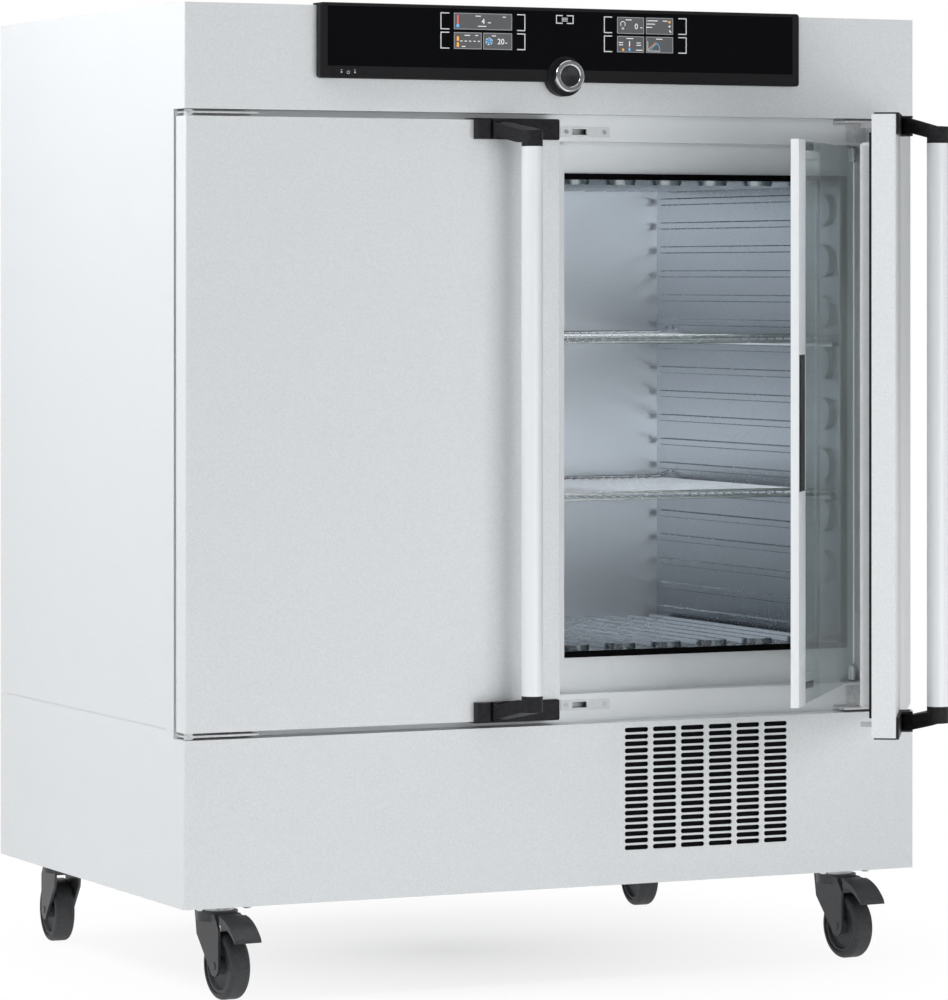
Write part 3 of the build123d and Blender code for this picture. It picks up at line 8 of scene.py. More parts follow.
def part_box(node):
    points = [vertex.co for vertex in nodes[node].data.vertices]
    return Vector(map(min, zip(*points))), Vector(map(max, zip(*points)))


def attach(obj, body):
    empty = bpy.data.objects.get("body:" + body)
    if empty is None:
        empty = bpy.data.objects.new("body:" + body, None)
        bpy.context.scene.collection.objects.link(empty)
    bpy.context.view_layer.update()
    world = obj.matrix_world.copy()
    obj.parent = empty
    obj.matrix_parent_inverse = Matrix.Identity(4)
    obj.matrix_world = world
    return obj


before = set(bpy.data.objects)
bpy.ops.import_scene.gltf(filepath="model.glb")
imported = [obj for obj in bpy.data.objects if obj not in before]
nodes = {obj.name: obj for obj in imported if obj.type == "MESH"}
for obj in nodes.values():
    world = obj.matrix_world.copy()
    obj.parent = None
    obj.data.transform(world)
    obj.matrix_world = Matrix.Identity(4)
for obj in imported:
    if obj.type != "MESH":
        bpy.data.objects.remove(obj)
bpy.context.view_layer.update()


# White casing: sides, lid, back, fascia, plinth, front frame and the outer doors' skins.
# Folded steel sheet with a fine-grained, semi-gloss powder coat, a little uneven in tone
# The frame round the chamber gets a lighter copy of the white, as painted light for the light the
# fascia's overhang keeps off it.

MM = 0.001
MM_PER_METRE = 1000.0
NOISE_LOW, NOISE_HIGH = 0.3, 0.7


def new_finish(name, colour, roughness, metallic=0.0, gloss=0.5):
    finish = bpy.data.materials.new(name)
    finish.use_nodes = True
    shader = finish.node_tree.nodes["Principled BSDF"]
    shader.inputs["Base Color"].default_value = (*colour, 1.0)
    shader.inputs["Roughness"].default_value = roughness
    shader.inputs["Metallic"].default_value = metallic
    shader.inputs["Specular IOR Level"].default_value = gloss
    return finish


def grain(finish, size_mm, stretch=(1, 1, 1), detail=4.0, cells=False):
    tree = finish.node_tree
    place = tree.nodes.new("ShaderNodeTexCoord")
    spread = tree.nodes.new("ShaderNodeMapping")
    spread.inputs["Scale"].default_value = [MM_PER_METRE / (size_mm * s) for s in stretch]
    texture = tree.nodes.new("ShaderNodeTexVoronoi" if cells else "ShaderNodeTexNoise")
    texture.inputs["Scale"].default_value = 1.0
    if not cells:
        texture.inputs["Detail"].default_value = detail
    tree.links.new(place.outputs["Object"], spread.inputs["Vector"])
    tree.links.new(spread.outputs["Vector"], texture.inputs["Vector"])
    return texture.outputs["Color" if cells else "Fac"]


def tone(finish, dark, light, **pattern):
    tree = finish.node_tree
    source = grain(finish, **pattern)
    ramp = tree.nodes.new("ShaderNodeValToRGB")
    for stop, place, shade in zip(ramp.color_ramp.elements, (NOISE_LOW, NOISE_HIGH), (dark, light)):
        stop.position = place
        stop.color = (*shade, 1.0)
    tree.links.new(source, ramp.inputs["Fac"])
    tree.links.new(ramp.outputs["Color"], tree.nodes["Principled BSDF"].inputs["Base Color"])
    return ramp


def dullness(finish, low, high, **pattern):
    tree = finish.node_tree
    source = grain(finish, **pattern)
    span = tree.nodes.new("ShaderNodeMapRange")
    span.inputs["From Min"].default_value = NOISE_LOW
    span.inputs["From Max"].default_value = NOISE_HIGH
    span.inputs["To Min"].default_value = low
    span.inputs["To Max"].default_value = high
    tree.links.new(source, span.inputs["Value"])
    tree.links.new(span.outputs["Result"], tree.nodes["Principled BSDF"].inputs["Roughness"])


def relief(finish, depth_mm, strength=1.0, **pattern):
    tree = finish.node_tree
    source = grain(finish, **pattern)
    bump = tree.nodes.new("ShaderNodeBump")
    bump.inputs["Distance"].default_value = depth_mm * MM
    bump.inputs["Strength"].default_value = strength
    tree.links.new(source, bump.inputs["Height"])
    tree.links.new(bump.outputs["Normal"], tree.nodes["Principled BSDF"].inputs["Normal"])


def dress(finish, *names):
    for name in names:
        nodes[name].data.materials.clear()
        nodes[name].data.materials.append(finish)


powder_coat = new_finish("white_powder_coat", (0.76, 0.78, 0.79), roughness=0.42)
tone(powder_coat, dark=(0.700, 0.724, 0.738), light=(0.790, 0.808, 0.818), size_mm=2.4, detail=6.0)
dullness(powder_coat, low=0.38, high=0.46, size_mm=60.0)
relief(powder_coat, depth_mm=0.035, size_mm=1.1, detail=2.0)
dress(powder_coat, "side_panels", "top_cover", "rear_panel", "front_fascia", "plinth_grille",
      "left_door_skin", "right_door_skin")

# Painted light: a lighter copy of the casing's white stands in for light the frame lacks.
lightened_frame_white = new_finish("frame_white_painted_light", (0.85, 0.875, 0.89), roughness=0.40)
tone(lightened_frame_white, dark=(0.84, 0.865, 0.88), light=(0.88, 0.90, 0.915), size_mm=1.6, detail=6.0)
relief(lightened_frame_white, depth_mm=0.03, size_mm=1.1, detail=2.0)
dress(lightened_frame_white, "door_frame")


# Base pan and caster plates: zinc-coated sheet, pressed and spot-welded, whose coat shows
# its flat grey spangle. The four keeper plates screwed to the frame have a pale coat.

zinc = new_finish("zinc_sheet", (0.60, 0.61, 0.62), roughness=0.42, metallic=1.0)
tone(zinc, dark=(0.52, 0.53, 0.54), light=(0.68, 0.69, 0.70), size_mm=9.0, cells=True)
dullness(zinc, low=0.34, high=0.50, size_mm=4.0)
dress(zinc, "base_pan", "caster_plates")

keeper_coat = new_finish("keeper_coat", (0.72, 0.74, 0.75), roughness=0.35)
tone(keeper_coat, dark=(0.70, 0.72, 0.735), light=(0.78, 0.79, 0.80), size_mm=3.0)
relief(keeper_coat, depth_mm=0.02, size_mm=0.8)
dress(keeper_coat, "latch_keepers")


# Hinge halves screwed to the frame: pressed steel with a light grey coat.
# The outer leaves hold a knuckle each, the flush plates of the glass doors an arm and a pin.

hinge_coat = new_finish("hinge_coat", (0.70, 0.71, 0.72), roughness=0.34, metallic=0.35)
tone(hinge_coat, dark=(0.62, 0.63, 0.64), light=(0.76, 0.77, 0.78), size_mm=5.0)
relief(hinge_coat, depth_mm=0.02, size_mm=0.9)
dress(hinge_coat, "hinge_leaves")


# Chamber liner: stainless sheet with hairpin ribs pressed into sides, floor and ceiling.
# Their fine grain runs along the chamber's depth, and their steel is darkened as painted shade.
# The rear wall is brushed across to a satin finish and gets a much lighter copy of the steel as
# painted light.

# Painted shade: the side walls, floor and ceiling get a darkened copy of the steel.
darkened_wall_steel = new_finish("liner_walls_steel_painted_shade", (0.34, 0.37, 0.40), roughness=0.25, metallic=1.0)
ALONG_DEPTH = (1, 5, 1)
tone(darkened_wall_steel, dark=(0.32, 0.35, 0.38), light=(0.36, 0.39, 0.42),
     size_mm=1.6, stretch=ALONG_DEPTH, detail=2.0)
dullness(darkened_wall_steel, low=0.24, high=0.28, size_mm=1.6, stretch=ALONG_DEPTH)
relief(darkened_wall_steel, depth_mm=0.002, strength=0.3, size_mm=1.2, stretch=ALONG_DEPTH)
dress(darkened_wall_steel, "liner_side_walls", "liner_floor_and_ceiling")

# Painted light: the rear wall's lighter colour is a lit copy of the liner's steel.
lightened_rear_steel = new_finish("rear_wall_steel_painted_light", (0.70, 0.74, 0.78), roughness=0.38, metallic=0.75)
ACROSS = (60, 1, 1)
tone(lightened_rear_steel, dark=(0.68, 0.72, 0.765), light=(0.72, 0.765, 0.81),
     size_mm=0.35, stretch=ACROSS, detail=2.0)
dullness(lightened_rear_steel, low=0.35, high=0.41, size_mm=0.5, stretch=ACROSS)
dress(lightened_rear_steel, "liner_back_wall")


# Lip seal round the chamber's mouth, and the outer doors' black seals with a pale inner lip.
# Extruded silicone rubber with a dull, slightly chalky skin. The lip is what lies deeper than
# LIP_FROM_Y on a closed door, so the open right door is turned back to tell its faces apart.

mouth_rubber = new_finish("black_seal_rubber", (0.003, 0.003, 0.0035), roughness=0.7, gloss=0.03)
tone(mouth_rubber, dark=(0.002, 0.002, 0.0025), light=(0.005, 0.005, 0.0055), size_mm=3.0)
relief(mouth_rubber, depth_mm=0.03, size_mm=0.7)
dress(mouth_rubber, "chamber_seal")

door_rubber = new_finish("black_door_seal", (0.010, 0.010, 0.011), roughness=0.6, gloss=0.15)
tone(door_rubber, dark=(0.008, 0.008, 0.009), light=(0.016, 0.016, 0.017), size_mm=4.0)
relief(door_rubber, depth_mm=0.03, size_mm=0.8)
dress(door_rubber, "left_door_gasket", "right_door_gasket")

lip_rubber = new_finish("pale_lip_seal", (0.72, 0.74, 0.75), roughness=0.5)
tone(lip_rubber, dark=(0.70, 0.72, 0.73), light=(0.76, 0.78, 0.79), size_mm=4.0)
relief(lip_rubber, depth_mm=0.03, size_mm=0.8)
LIP_FROM_Y = -345.0 * MM
DOOR_PIVOT = Vector((600.0, -380.0, 0.0)) * MM
DOOR_OPEN = math.radians(57.75)
for name, angle in (("left_door_gasket", 0.0), ("right_door_gasket", -DOOR_OPEN)):
    mesh = nodes[name].data
    mesh.materials.append(lip_rubber)
    from_pivot = Matrix.Translation(DOOR_PIVOT)
    closed = from_pivot @ Matrix.Rotation(angle, 4, "Z") @ Matrix.Translation(-DOOR_PIVOT)
    for face in mesh.polygons:
        face.material_index = 1 if (closed @ face.center).y > LIP_FROM_Y else 0


# Foam-backed inner panels of the outer doors, and the foam block round the chamber.
# The panels are smooth white moulded sheet; the foam keeps its open cells.

lining = new_finish("white_door_lining", (0.74, 0.76, 0.77), roughness=0.32)
tone(lining, dark=(0.72, 0.74, 0.75), light=(0.78, 0.79, 0.80), size_mm=30.0)
relief(lining, depth_mm=0.02, size_mm=1.4)
dress(lining, "left_door_inner_panel", "right_door_inner_panel")

foam = new_finish("rigid_foam", (0.72, 0.63, 0.40), roughness=0.85)
tone(foam, dark=(0.60, 0.52, 0.32), light=(0.80, 0.72, 0.50), size_mm=2.5, detail=6.0)
relief(foam, depth_mm=0.4, size_mm=1.5)
dress(foam, "insulation")


# Wire shelves: electro-polished stainless rod, welded at every crossing.
# Bright, with a faint drawn grain along each wire.

wire_steel = new_finish("polished_wire", (0.72, 0.73, 0.74), roughness=0.20, metallic=1.0)
tone(wire_steel, dark=(0.64, 0.65, 0.66), light=(0.80, 0.81, 0.82), size_mm=2.0, stretch=(8, 8, 1))
dullness(wire_steel, low=0.16, high=0.28, size_mm=6.0)
dress(wire_steel, "upper_shelf", "lower_shelf")


# Handles: satin silver tube between black arms that swing on black base plates, and drawn
# steel latch hooks. The black pieces, with the glass doors' finger grips and the mains
# inlet, are glass-filled nylon with a fine spark-eroded texture.

nylon = new_finish("black_nylon", (0.010, 0.010, 0.012), roughness=0.45, gloss=0.25)
tone(nylon, dark=(0.008, 0.008, 0.009), light=(0.020, 0.020, 0.022), size_mm=5.0)
dullness(nylon, low=0.38, high=0.52, size_mm=2.0)
relief(nylon, depth_mm=0.03, size_mm=0.45, detail=2.0)
dress(nylon, "left_handle_bases", "right_handle_bases", "left_handle_arms", "right_handle_arms",
      "left_glass_grip", "right_glass_grip", "mains_inlet")

satin_tube = new_finish("satin_silver_tube", (0.88, 0.90, 0.92), roughness=0.30, metallic=0.2)
tone(satin_tube, dark=(0.87, 0.89, 0.91), light=(0.91, 0.93, 0.95), size_mm=0.6, stretch=(1, 1, 80))
relief(satin_tube, depth_mm=0.006, strength=0.5, size_mm=0.5, stretch=(1, 1, 60))
dress(satin_tube, "left_handle_tube", "right_handle_tube")

latch_steel = new_finish("latch_steel", (0.58, 0.58, 0.59), roughness=0.34, metallic=1.0)
tone(latch_steel, dark=(0.50, 0.50, 0.51), light=(0.66, 0.66, 0.67),
     size_mm=0.8, stretch=(1, 1, 20))
dress(latch_steel, "left_latch_hooks", "right_latch_hooks")


# Glass doors: grey anodised stile and patches, toughened pane with a faint green-grey tint.
# The metal is drawn and anodised, so its grain runs upright.

anodised = new_finish("grey_anodised", (0.84, 0.86, 0.88), roughness=0.38, metallic=0.1)
tone(anodised, dark=(0.82, 0.84, 0.86), light=(0.87, 0.89, 0.91), size_mm=0.6, stretch=(1, 1, 90))
relief(anodised, depth_mm=0.006, strength=0.6, size_mm=0.5, stretch=(1, 1, 80))
dress(anodised, "left_glass_frame", "right_glass_frame")

pane_glass = new_finish("tinted_pane", (0.78, 0.86, 0.85), roughness=0.0)
pane_shader = pane_glass.node_tree.nodes["Principled BSDF"]
pane_shader.inputs["Transmission Weight"].default_value = 1.0
pane_shader.inputs["IOR"].default_value = 1.45
tone(pane_glass, dark=(0.76, 0.84, 0.83), light=(0.82, 0.89, 0.88), size_mm=120.0)
dress(pane_glass, "left_glass_pane", "right_glass_pane")


# Control panel: black moulded housing, gloss black glass, turning ring round a dished cap.
# The housing and the flat key have a fine matt texture, the chromed ring a satin rim that
# catches the light.

housing = new_finish("panel_housing", (0.012, 0.012, 0.013), roughness=0.42, gloss=0.2)
tone(housing, dark=(0.009, 0.009, 0.010), light=(0.014, 0.014, 0.015), size_mm=3.0)
relief(housing, depth_mm=0.02, size_mm=0.5, detail=2.0)
dress(housing, "panel_bezel", "standby_key")

dark_glass = new_finish("black_panel_glass", (0.002, 0.002, 0.003), roughness=0.06, gloss=0.22)
dullness(dark_glass, low=0.04, high=0.09, size_mm=200.0)
dress(dark_glass, "panel_glass")

ring_chrome = new_finish("satin_chrome_ring", (0.74, 0.75, 0.76), roughness=0.16, metallic=1.0)
tone(ring_chrome, dark=(0.70, 0.71, 0.72), light=(0.80, 0.81, 0.82), size_mm=1.5)
dullness(ring_chrome, low=0.12, high=0.22, size_mm=0.8)
dress(ring_chrome, "knob_ring")

cap_gloss = new_finish("dished_cap", (0.018, 0.018, 0.020), roughness=0.28)
tone(cap_gloss, dark=(0.014, 0.014, 0.016), light=(0.026, 0.026, 0.028), size_mm=2.0)
dress(cap_gloss, "knob_button")


# Displays of the control panel: two grids of grey tiles, lit from behind, with a pale
# outline, and pale printed brackets that mark the touch fields. All lie in the glass's face
# and stand a tenth or two of a millimetre proud of it. Places and sizes are in millimetres.

GLASS_FACE_Y = -405.5
SUNK = 0.1
TILE_RISE = 0.08
BRACKET_RISE = 0.1
OUTLINE_RISE = 0.16
OUTLINE_WIDTH = 0.9
BRACKET_WIDTH = 1.5
DARK_GRAIN = 0.92


def lit_finish(name, colour, glow):
    finish = new_finish(name, colour, roughness=0.5)
    tone(finish, dark=[c * DARK_GRAIN for c in colour], light=colour, size_mm=0.9)
    shader = finish.node_tree.nodes["Principled BSDF"]
    shader.inputs["Emission Color"].default_value = (*colour, 1.0)
    shader.inputs["Emission Strength"].default_value = glow
    return finish


def mount(name, mesh, finish, body):
    mesh.materials.append(finish)
    piece = bpy.data.objects.new(name, mesh)
    bpy.context.scene.collection.objects.link(piece)
    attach(piece, body)


def finish_piece(name, bm, finish, body):
    bmesh.ops.recalc_face_normals(bm, faces=bm.faces)
    mesh = bpy.data.meshes.new(name)
    bm.to_mesh(mesh)
    bm.free()
    mount(name, mesh, finish, body)


def slab(bm, x0, x1, y0, y1, z0, z1):
    made = bmesh.ops.create_cube(bm, size=1.0)["verts"]
    bmesh.ops.scale(bm, verts=made, vec=((x1 - x0) * MM, (y1 - y0) * MM, (z1 - z0) * MM))
    centre = Vector(((x0 + x1) / 2, (y0 + y1) / 2, (z0 + z1) / 2)) * MM
    bmesh.ops.translate(bm, verts=made, vec=centre)


def on_glass(bm, x0, x1, z0, z1, rise):
    slab(bm, x0, x1, GLASS_FACE_Y - rise, GLASS_FACE_Y + SUNK, z0, z1)


def outline(bm, x0, x1, z0, z1, width):
    on_glass(bm, x0, x1, z1 - width, z1, OUTLINE_RISE)
    on_glass(bm, x0, x1, z0, z0 + width, OUTLINE_RISE)
    on_glass(bm, x0, x0 + width, z0 + width, z1 - width, OUTLINE_RISE)
    on_glass(bm, x1 - width, x1, z0 + width, z1 - width, OUTLINE_RISE)


def bracket(bm, x0, x1, z0, z1, post_side):
    post = x0 if post_side == "left" else x1 - BRACKET_WIDTH
    low, high = z0 + BRACKET_WIDTH, z1 - BRACKET_WIDTH
    on_glass(bm, x0, x1, high, z1, BRACKET_RISE)
    on_glass(bm, x0, x1, z0, low, BRACKET_RISE)
    on_glass(bm, post, post + BRACKET_WIDTH, low, high, BRACKET_RISE)


# Each tile's left, right, lower and upper edge.
TILES = (
    (-184.8, -89.0, 1432.4, 1456.8),
    (-184.8, -139.4, 1403.2, 1427.9), (-136.6, -89.0, 1403.2, 1427.9),
    (87.5, 133.0, 1431.6, 1456.6), (136.6, 182.6, 1431.6, 1456.6),
    (87.5, 133.0, 1403.4, 1427.8), (136.6, 182.6, 1403.4, 1427.8),
)

tile_grey = lit_finish("tile_grey", (0.085, 0.088, 0.092), glow=0.35)
tiles = bmesh.new()
for x0, x1, z0, z1 in TILES:
    on_glass(tiles, x0, x1, z0, z1, TILE_RISE)
finish_piece("display_tiles", tiles, tile_grey, "cabinet")

line_grey = lit_finish("outline_grey", (0.30, 0.31, 0.32), glow=0.4)
outlines = bmesh.new()
for x0, x1, z0, z1 in TILES:
    outline(outlines, x0, x1, z0, z1, OUTLINE_WIDTH)
finish_piece("display_outlines", outlines, line_grey, "cabinet")

# Each touch field's bracket, and the pair round the three short bars in the middle.
FIELD_BRACKETS = ((-207.0, -192.5, "left"), (-80.6, -66.9, "right"),
                  (65.0, 79.0, "left"), (191.6, 206.0, "right"))
FIELD_ROWS = ((1431.8, 1457.0), (1403.2, 1428.2))
MIDDLE_BRACKETS = ((-15.6, -4.2, "left"), (2.5, 13.9, "right"))
MIDDLE_ROW = (1444.3, 1457.3)
MIDDLE_BARS_X = (-6.0, 4.2)
MIDDLE_BARS_Z = (1448.4, 1450.6, 1452.8)
HALF_BAR = 0.5

print_white = lit_finish("print_white", (0.62, 0.63, 0.65), glow=0.25)
brackets = bmesh.new()
for x0, x1, post_side in FIELD_BRACKETS:
    for z0, z1 in FIELD_ROWS:
        bracket(brackets, x0, x1, z0, z1, post_side)
for x0, x1, post_side in MIDDLE_BRACKETS:
    bracket(brackets, x0, x1, *MIDDLE_ROW, post_side)
for z in MIDDLE_BARS_Z:
    on_glass(brackets, *MIDDLE_BARS_X, z - HALF_BAR, z + HALF_BAR, BRACKET_RISE)
finish_piece("touch_field_brackets", brackets, print_white, "cabinet")


# Signs on the tiles: plain numbers, a thermometer, a fan, a lamp, a small curve and short bars.
# They are thin lit shapes on the tiles' faces, drawn with strokes and discs in millimetres.

SIGN_Y = GLASS_FACE_Y - 0.2
DIGIT_TO_FONT_SIZE = 1.38
DIGIT_DEPTH = 0.05
DISC_DEPTH = 0.16
STROKE_DEPTH = 0.14
lit_white = lit_finish("sign_white", (0.80, 0.81, 0.82), glow=0.5)
lit_blue = lit_finish("sign_blue", (0.10, 0.42, 0.80), glow=0.6)
lit_red = lit_finish("sign_red", (0.75, 0.10, 0.07), glow=0.6)
lit_amber = lit_finish("sign_amber", (0.85, 0.38, 0.05), glow=0.6)


def number(text, x, z, height, name):
    curve = bpy.data.curves.new(name, "FONT")
    curve.body = text
    curve.size = height * DIGIT_TO_FONT_SIZE * MM
    curve.extrude = DIGIT_DEPTH * MM
    curve.align_x = "CENTER"
    holder = bpy.data.objects.new(name + "_curve", curve)
    bpy.context.scene.collection.objects.link(holder)
    bpy.context.view_layer.update()
    solid = holder.evaluated_get(bpy.context.evaluated_depsgraph_get())
    mesh = bpy.data.meshes.new_from_object(solid)
    bpy.data.objects.remove(holder)
    place = Matrix.Translation((x * MM, SIGN_Y * MM, (z - height / 2) * MM))
    mesh.transform(place @ Matrix.Rotation(math.pi / 2, 4, "X"))
    mesh.materials.clear()
    mount(name, mesh, lit_white, "cabinet")


def disc(bm, x, z, radius, y=SIGN_Y, sides=20):
    made = bmesh.ops.create_cone(bm, cap_ends=True, segments=sides, depth=DISC_DEPTH * MM,
                                 radius1=radius * MM, radius2=radius * MM)["verts"]
    upright = Matrix.Rotation(math.pi / 2, 3, "X")
    bmesh.ops.rotate(bm, verts=made, cent=(0, 0, 0), matrix=upright)
    bmesh.ops.translate(bm, verts=made, vec=(x * MM, y * MM, z * MM))


def stroke(bm, x0, z0, x1, z1, width, y=SIGN_Y):
    length = math.hypot(x1 - x0, z1 - z0)
    made = bmesh.ops.create_cube(bm, size=1.0)["verts"]
    bmesh.ops.scale(bm, verts=made, vec=(length * MM, STROKE_DEPTH * MM, width * MM))
    slant = Matrix.Rotation(-math.atan2(z1 - z0, x1 - x0), 3, "Y")
    bmesh.ops.rotate(bm, verts=made, cent=(0, 0, 0), matrix=slant)
    bmesh.ops.translate(bm, verts=made, vec=((x0 + x1) / 2 * MM, y * MM, (z0 + z1) / 2 * MM))


def level_bar(bm, x0, x1, z, width, y=SIGN_Y):
    stroke(bm, x0, z, x1, z, width, y)


def upright_bar(bm, x, z0, z1, width, y=SIGN_Y):
    stroke(bm, x, z0, x, z1, width, y)


def arcs(bm, x, z, radius, starts, sweep, width, y=SIGN_Y):
    for start in starts:
        a, b = math.radians(start), math.radians(start + sweep)
        stroke(bm, x + radius * math.cos(a), z + radius * math.sin(a),
               x + radius * math.cos(b), z + radius * math.sin(b), width, y)


def trace(bm, points, width):
    for (x0, z0), (x1, z1) in zip(points, points[1:]):
        stroke(bm, x0, z0, x1, z1, width)


number("4", x=-136.8, z=1445.2, height=8.2, name="set_value_number")
number("20", x=-107.5, z=1415.6, height=8.6, name="fan_speed_number")
number("0", x=120.0, z=1443.2, height=8.6, name="light_number")

# Middle, height and length of each plain bar.
PLAIN_BARS = (
    (-145, 1452.6, 9), (-102, 1452.0, 5), (-138.5, 1437.6, 14), (-163, 1423.6, 9),
    (-147.5, 1423.6, 5), (-119, 1423.6, 7), (-169, 1407.0, 6), (107, 1452.6, 10),
    (147.5, 1452.0, 18), (169, 1452.0, 8), (145, 1447.0, 14), (142, 1442.0, 10),
    (109, 1424.4, 12), (94, 1418.0, 7), (94, 1414.5, 7), (124, 1418.0, 7), (124, 1414.5, 8),
    (125, 1407.0, 11), (159, 1424.4, 11), (-98.5, 1413.2, 3.2), (-126.5, 1443.0, 5),
    (128.5, 1441.0, 3.2),
)
PLAIN_WIDTH = 1.1
ROW_BARS, ROW_PITCH, ROW_WIDTH = 5, 7.2, 1.2
ROW_START, ROW_END, ROW_Z = -174.5, -171.0, 1415.0
FAN_SIGN = (-127.1, 1415.2)
LAMP_SIGN = (97.1, 1446.0)
LAMP_BULB_STARTS = (0, 45, 90, 135, 180, 315)
LAMP_WIDTH = 0.8
LAMP_SOCKET_X, LAMP_SOCKET_Z = (95.2, 99.0), (1440.2, 1438.6)
CHART_CORNER, CHART_TOP, CHART_END = (139.5, 1406.2), 1421.0, 160.5
AXIS_WIDTH = 0.6
MARKS_X, PALE_DOT_Z, AMBER_DOT_Z = 176.6, 1444.0, 1450.6
HAND = ((176.0, 1438.2), (179.5, 1434.6))
LARGE_TUBE_X, LARGE_BULB_Z, LARGE_LEVEL_Z = -178.5, 1437.6, (1439.5, 1453.6)
SMALL_TUBE_X, SMALL_BULB_Z, SMALL_LEVEL_Z = 108.4, 1407.8, (1409.5, 1413.5)
SMALL_TUBE_Z = (1412.0, 1420.5)

whites = bmesh.new()
for x, z, length in PLAIN_BARS:
    level_bar(whites, x - length / 2, x + length / 2, z, PLAIN_WIDTH)
for index in range(ROW_BARS):
    shift = index * ROW_PITCH
    level_bar(whites, ROW_START + shift, ROW_END + shift, ROW_Z, ROW_WIDTH)
arcs(whites, *FAN_SIGN, radius=5.4, starts=range(0, 360, 60), sweep=42, width=0.7)
arcs(whites, *LAMP_SIGN, radius=4.2, starts=LAMP_BULB_STARTS, sweep=45, width=LAMP_WIDTH)
for z in LAMP_SOCKET_Z:
    level_bar(whites, *LAMP_SOCKET_X, z, LAMP_WIDTH)
corner_x, corner_z = CHART_CORNER
upright_bar(whites, corner_x, corner_z, CHART_TOP, AXIS_WIDTH)
level_bar(whites, corner_x, CHART_END, corner_z, AXIS_WIDTH)
trace(whites, HAND, width=1.4)
disc(whites, MARKS_X, PALE_DOT_Z, radius=1.5)
upright_bar(whites, SMALL_TUBE_X, *SMALL_TUBE_Z, width=1.6)
finish_piece("display_signs_white", whites, lit_white, "cabinet")

BLADE_ROOT, BLADE_TIP, BLADE_LEAN = 1.4, 4.4, 0.5
BLUE_CURVE = ((142.5, 1407.0), (147.0, 1411.0), (151.5, 1415.5),
              (156.0, 1417.6), (159.0, 1413.5), (160.2, 1407.5))
CURVE_WIDTH = 0.8
blues = bmesh.new()
disc(blues, LARGE_TUBE_X, LARGE_BULB_Z, radius=2.5)
disc(blues, SMALL_TUBE_X, SMALL_BULB_Z, radius=1.9)
fan_x, fan_z = FAN_SIGN
for start in range(20, 380, 72):
    a = math.radians(start)
    b = a + BLADE_LEAN
    stroke(blues, fan_x + BLADE_ROOT * math.cos(a), fan_z + BLADE_ROOT * math.sin(a),
           fan_x + BLADE_TIP * math.cos(b), fan_z + BLADE_TIP * math.sin(b), width=1.6)
trace(blues, BLUE_CURVE, CURVE_WIDTH)
finish_piece("display_signs_blue", blues, lit_blue, "cabinet")

reds = bmesh.new()
upright_bar(reds, LARGE_TUBE_X, *LARGE_LEVEL_Z, width=2.2)
upright_bar(reds, SMALL_TUBE_X, *SMALL_LEVEL_Z, width=1.4)
finish_piece("display_signs_red", reds, lit_red, "cabinet")

FLAPS_Z, FLAP_WIDTH = ((1406.2, 1412.6), (1415.4, 1421.8)), 3.4
LOW_DOT = (97.6, 1407.4)
AMBER_CURVE = ((139.8, 1408.0), (143.5, 1411.5), (147.0, 1413.6), (151.5, 1418.0), (154.0, 1419.0))
ambers = bmesh.new()
for z0, z1 in FLAPS_Z:
    upright_bar(ambers, LARGE_TUBE_X, z0, z1, FLAP_WIDTH)
disc(ambers, MARKS_X, AMBER_DOT_Z, radius=1.8)
disc(ambers, *LOW_DOT, radius=1.8)
trace(ambers, AMBER_CURVE, CURVE_WIDTH)
finish_piece("display_signs_amber", ambers, lit_amber, "cabinet")


# Signs of the flat key at the panel's left: a standby ring with its tick between two dots
# with a short bar each. They are printed on the key's face and travel with it.

KEY_SIGN_Y = -407.12
KEY_RING_X = -357.4
KEY_DOTS_X = (-368.3, -346.6)
KEY_Z = 1365.2
KEY_TICK_Z = (1365.4, 1368.4)
KEY_BAR_Z = 1368.6
KEY_LINE = 0.55
HALF_KEY_BAR = 1.6

key_signs = bmesh.new()
arcs(key_signs, KEY_RING_X, KEY_Z, radius=2.3, starts=range(50, -230, -40), sweep=-40,
     width=KEY_LINE, y=KEY_SIGN_Y)
upright_bar(key_signs, KEY_RING_X, *KEY_TICK_Z, width=KEY_LINE, y=KEY_SIGN_Y)
for x in KEY_DOTS_X:
    disc(key_signs, x, KEY_Z, radius=1.2, y=KEY_SIGN_Y, sides=12)
    level_bar(key_signs, x - HALF_KEY_BAR, x + HALF_KEY_BAR, KEY_BAR_Z, width=0.5, y=KEY_SIGN_Y)
finish_piece("key_signs", key_signs, print_white, "standby")


# Casters: dark grey moulded forks and pedals; wheels with a hub disc and a softer, darker tyre.
# The tyre is bonded to the hub, so its colour starts at the hub's rim.

HUB_RADIUS = 0.0428
caster_nylon = new_finish("caster_nylon", (0.045, 0.047, 0.050), roughness=0.42)
tone(caster_nylon, dark=(0.036, 0.038, 0.041), light=(0.058, 0.060, 0.064), size_mm=4.0)
relief(caster_nylon, depth_mm=0.03, size_mm=0.6)
dress(caster_nylon, "front_left_fork", "front_right_fork", "rear_left_fork", "rear_right_fork",
      "front_left_brake_pedal", "front_right_brake_pedal")


def math_node(tree, operation, kind="ShaderNodeMath"):
    node = tree.nodes.new(kind)
    node.operation = operation
    return node


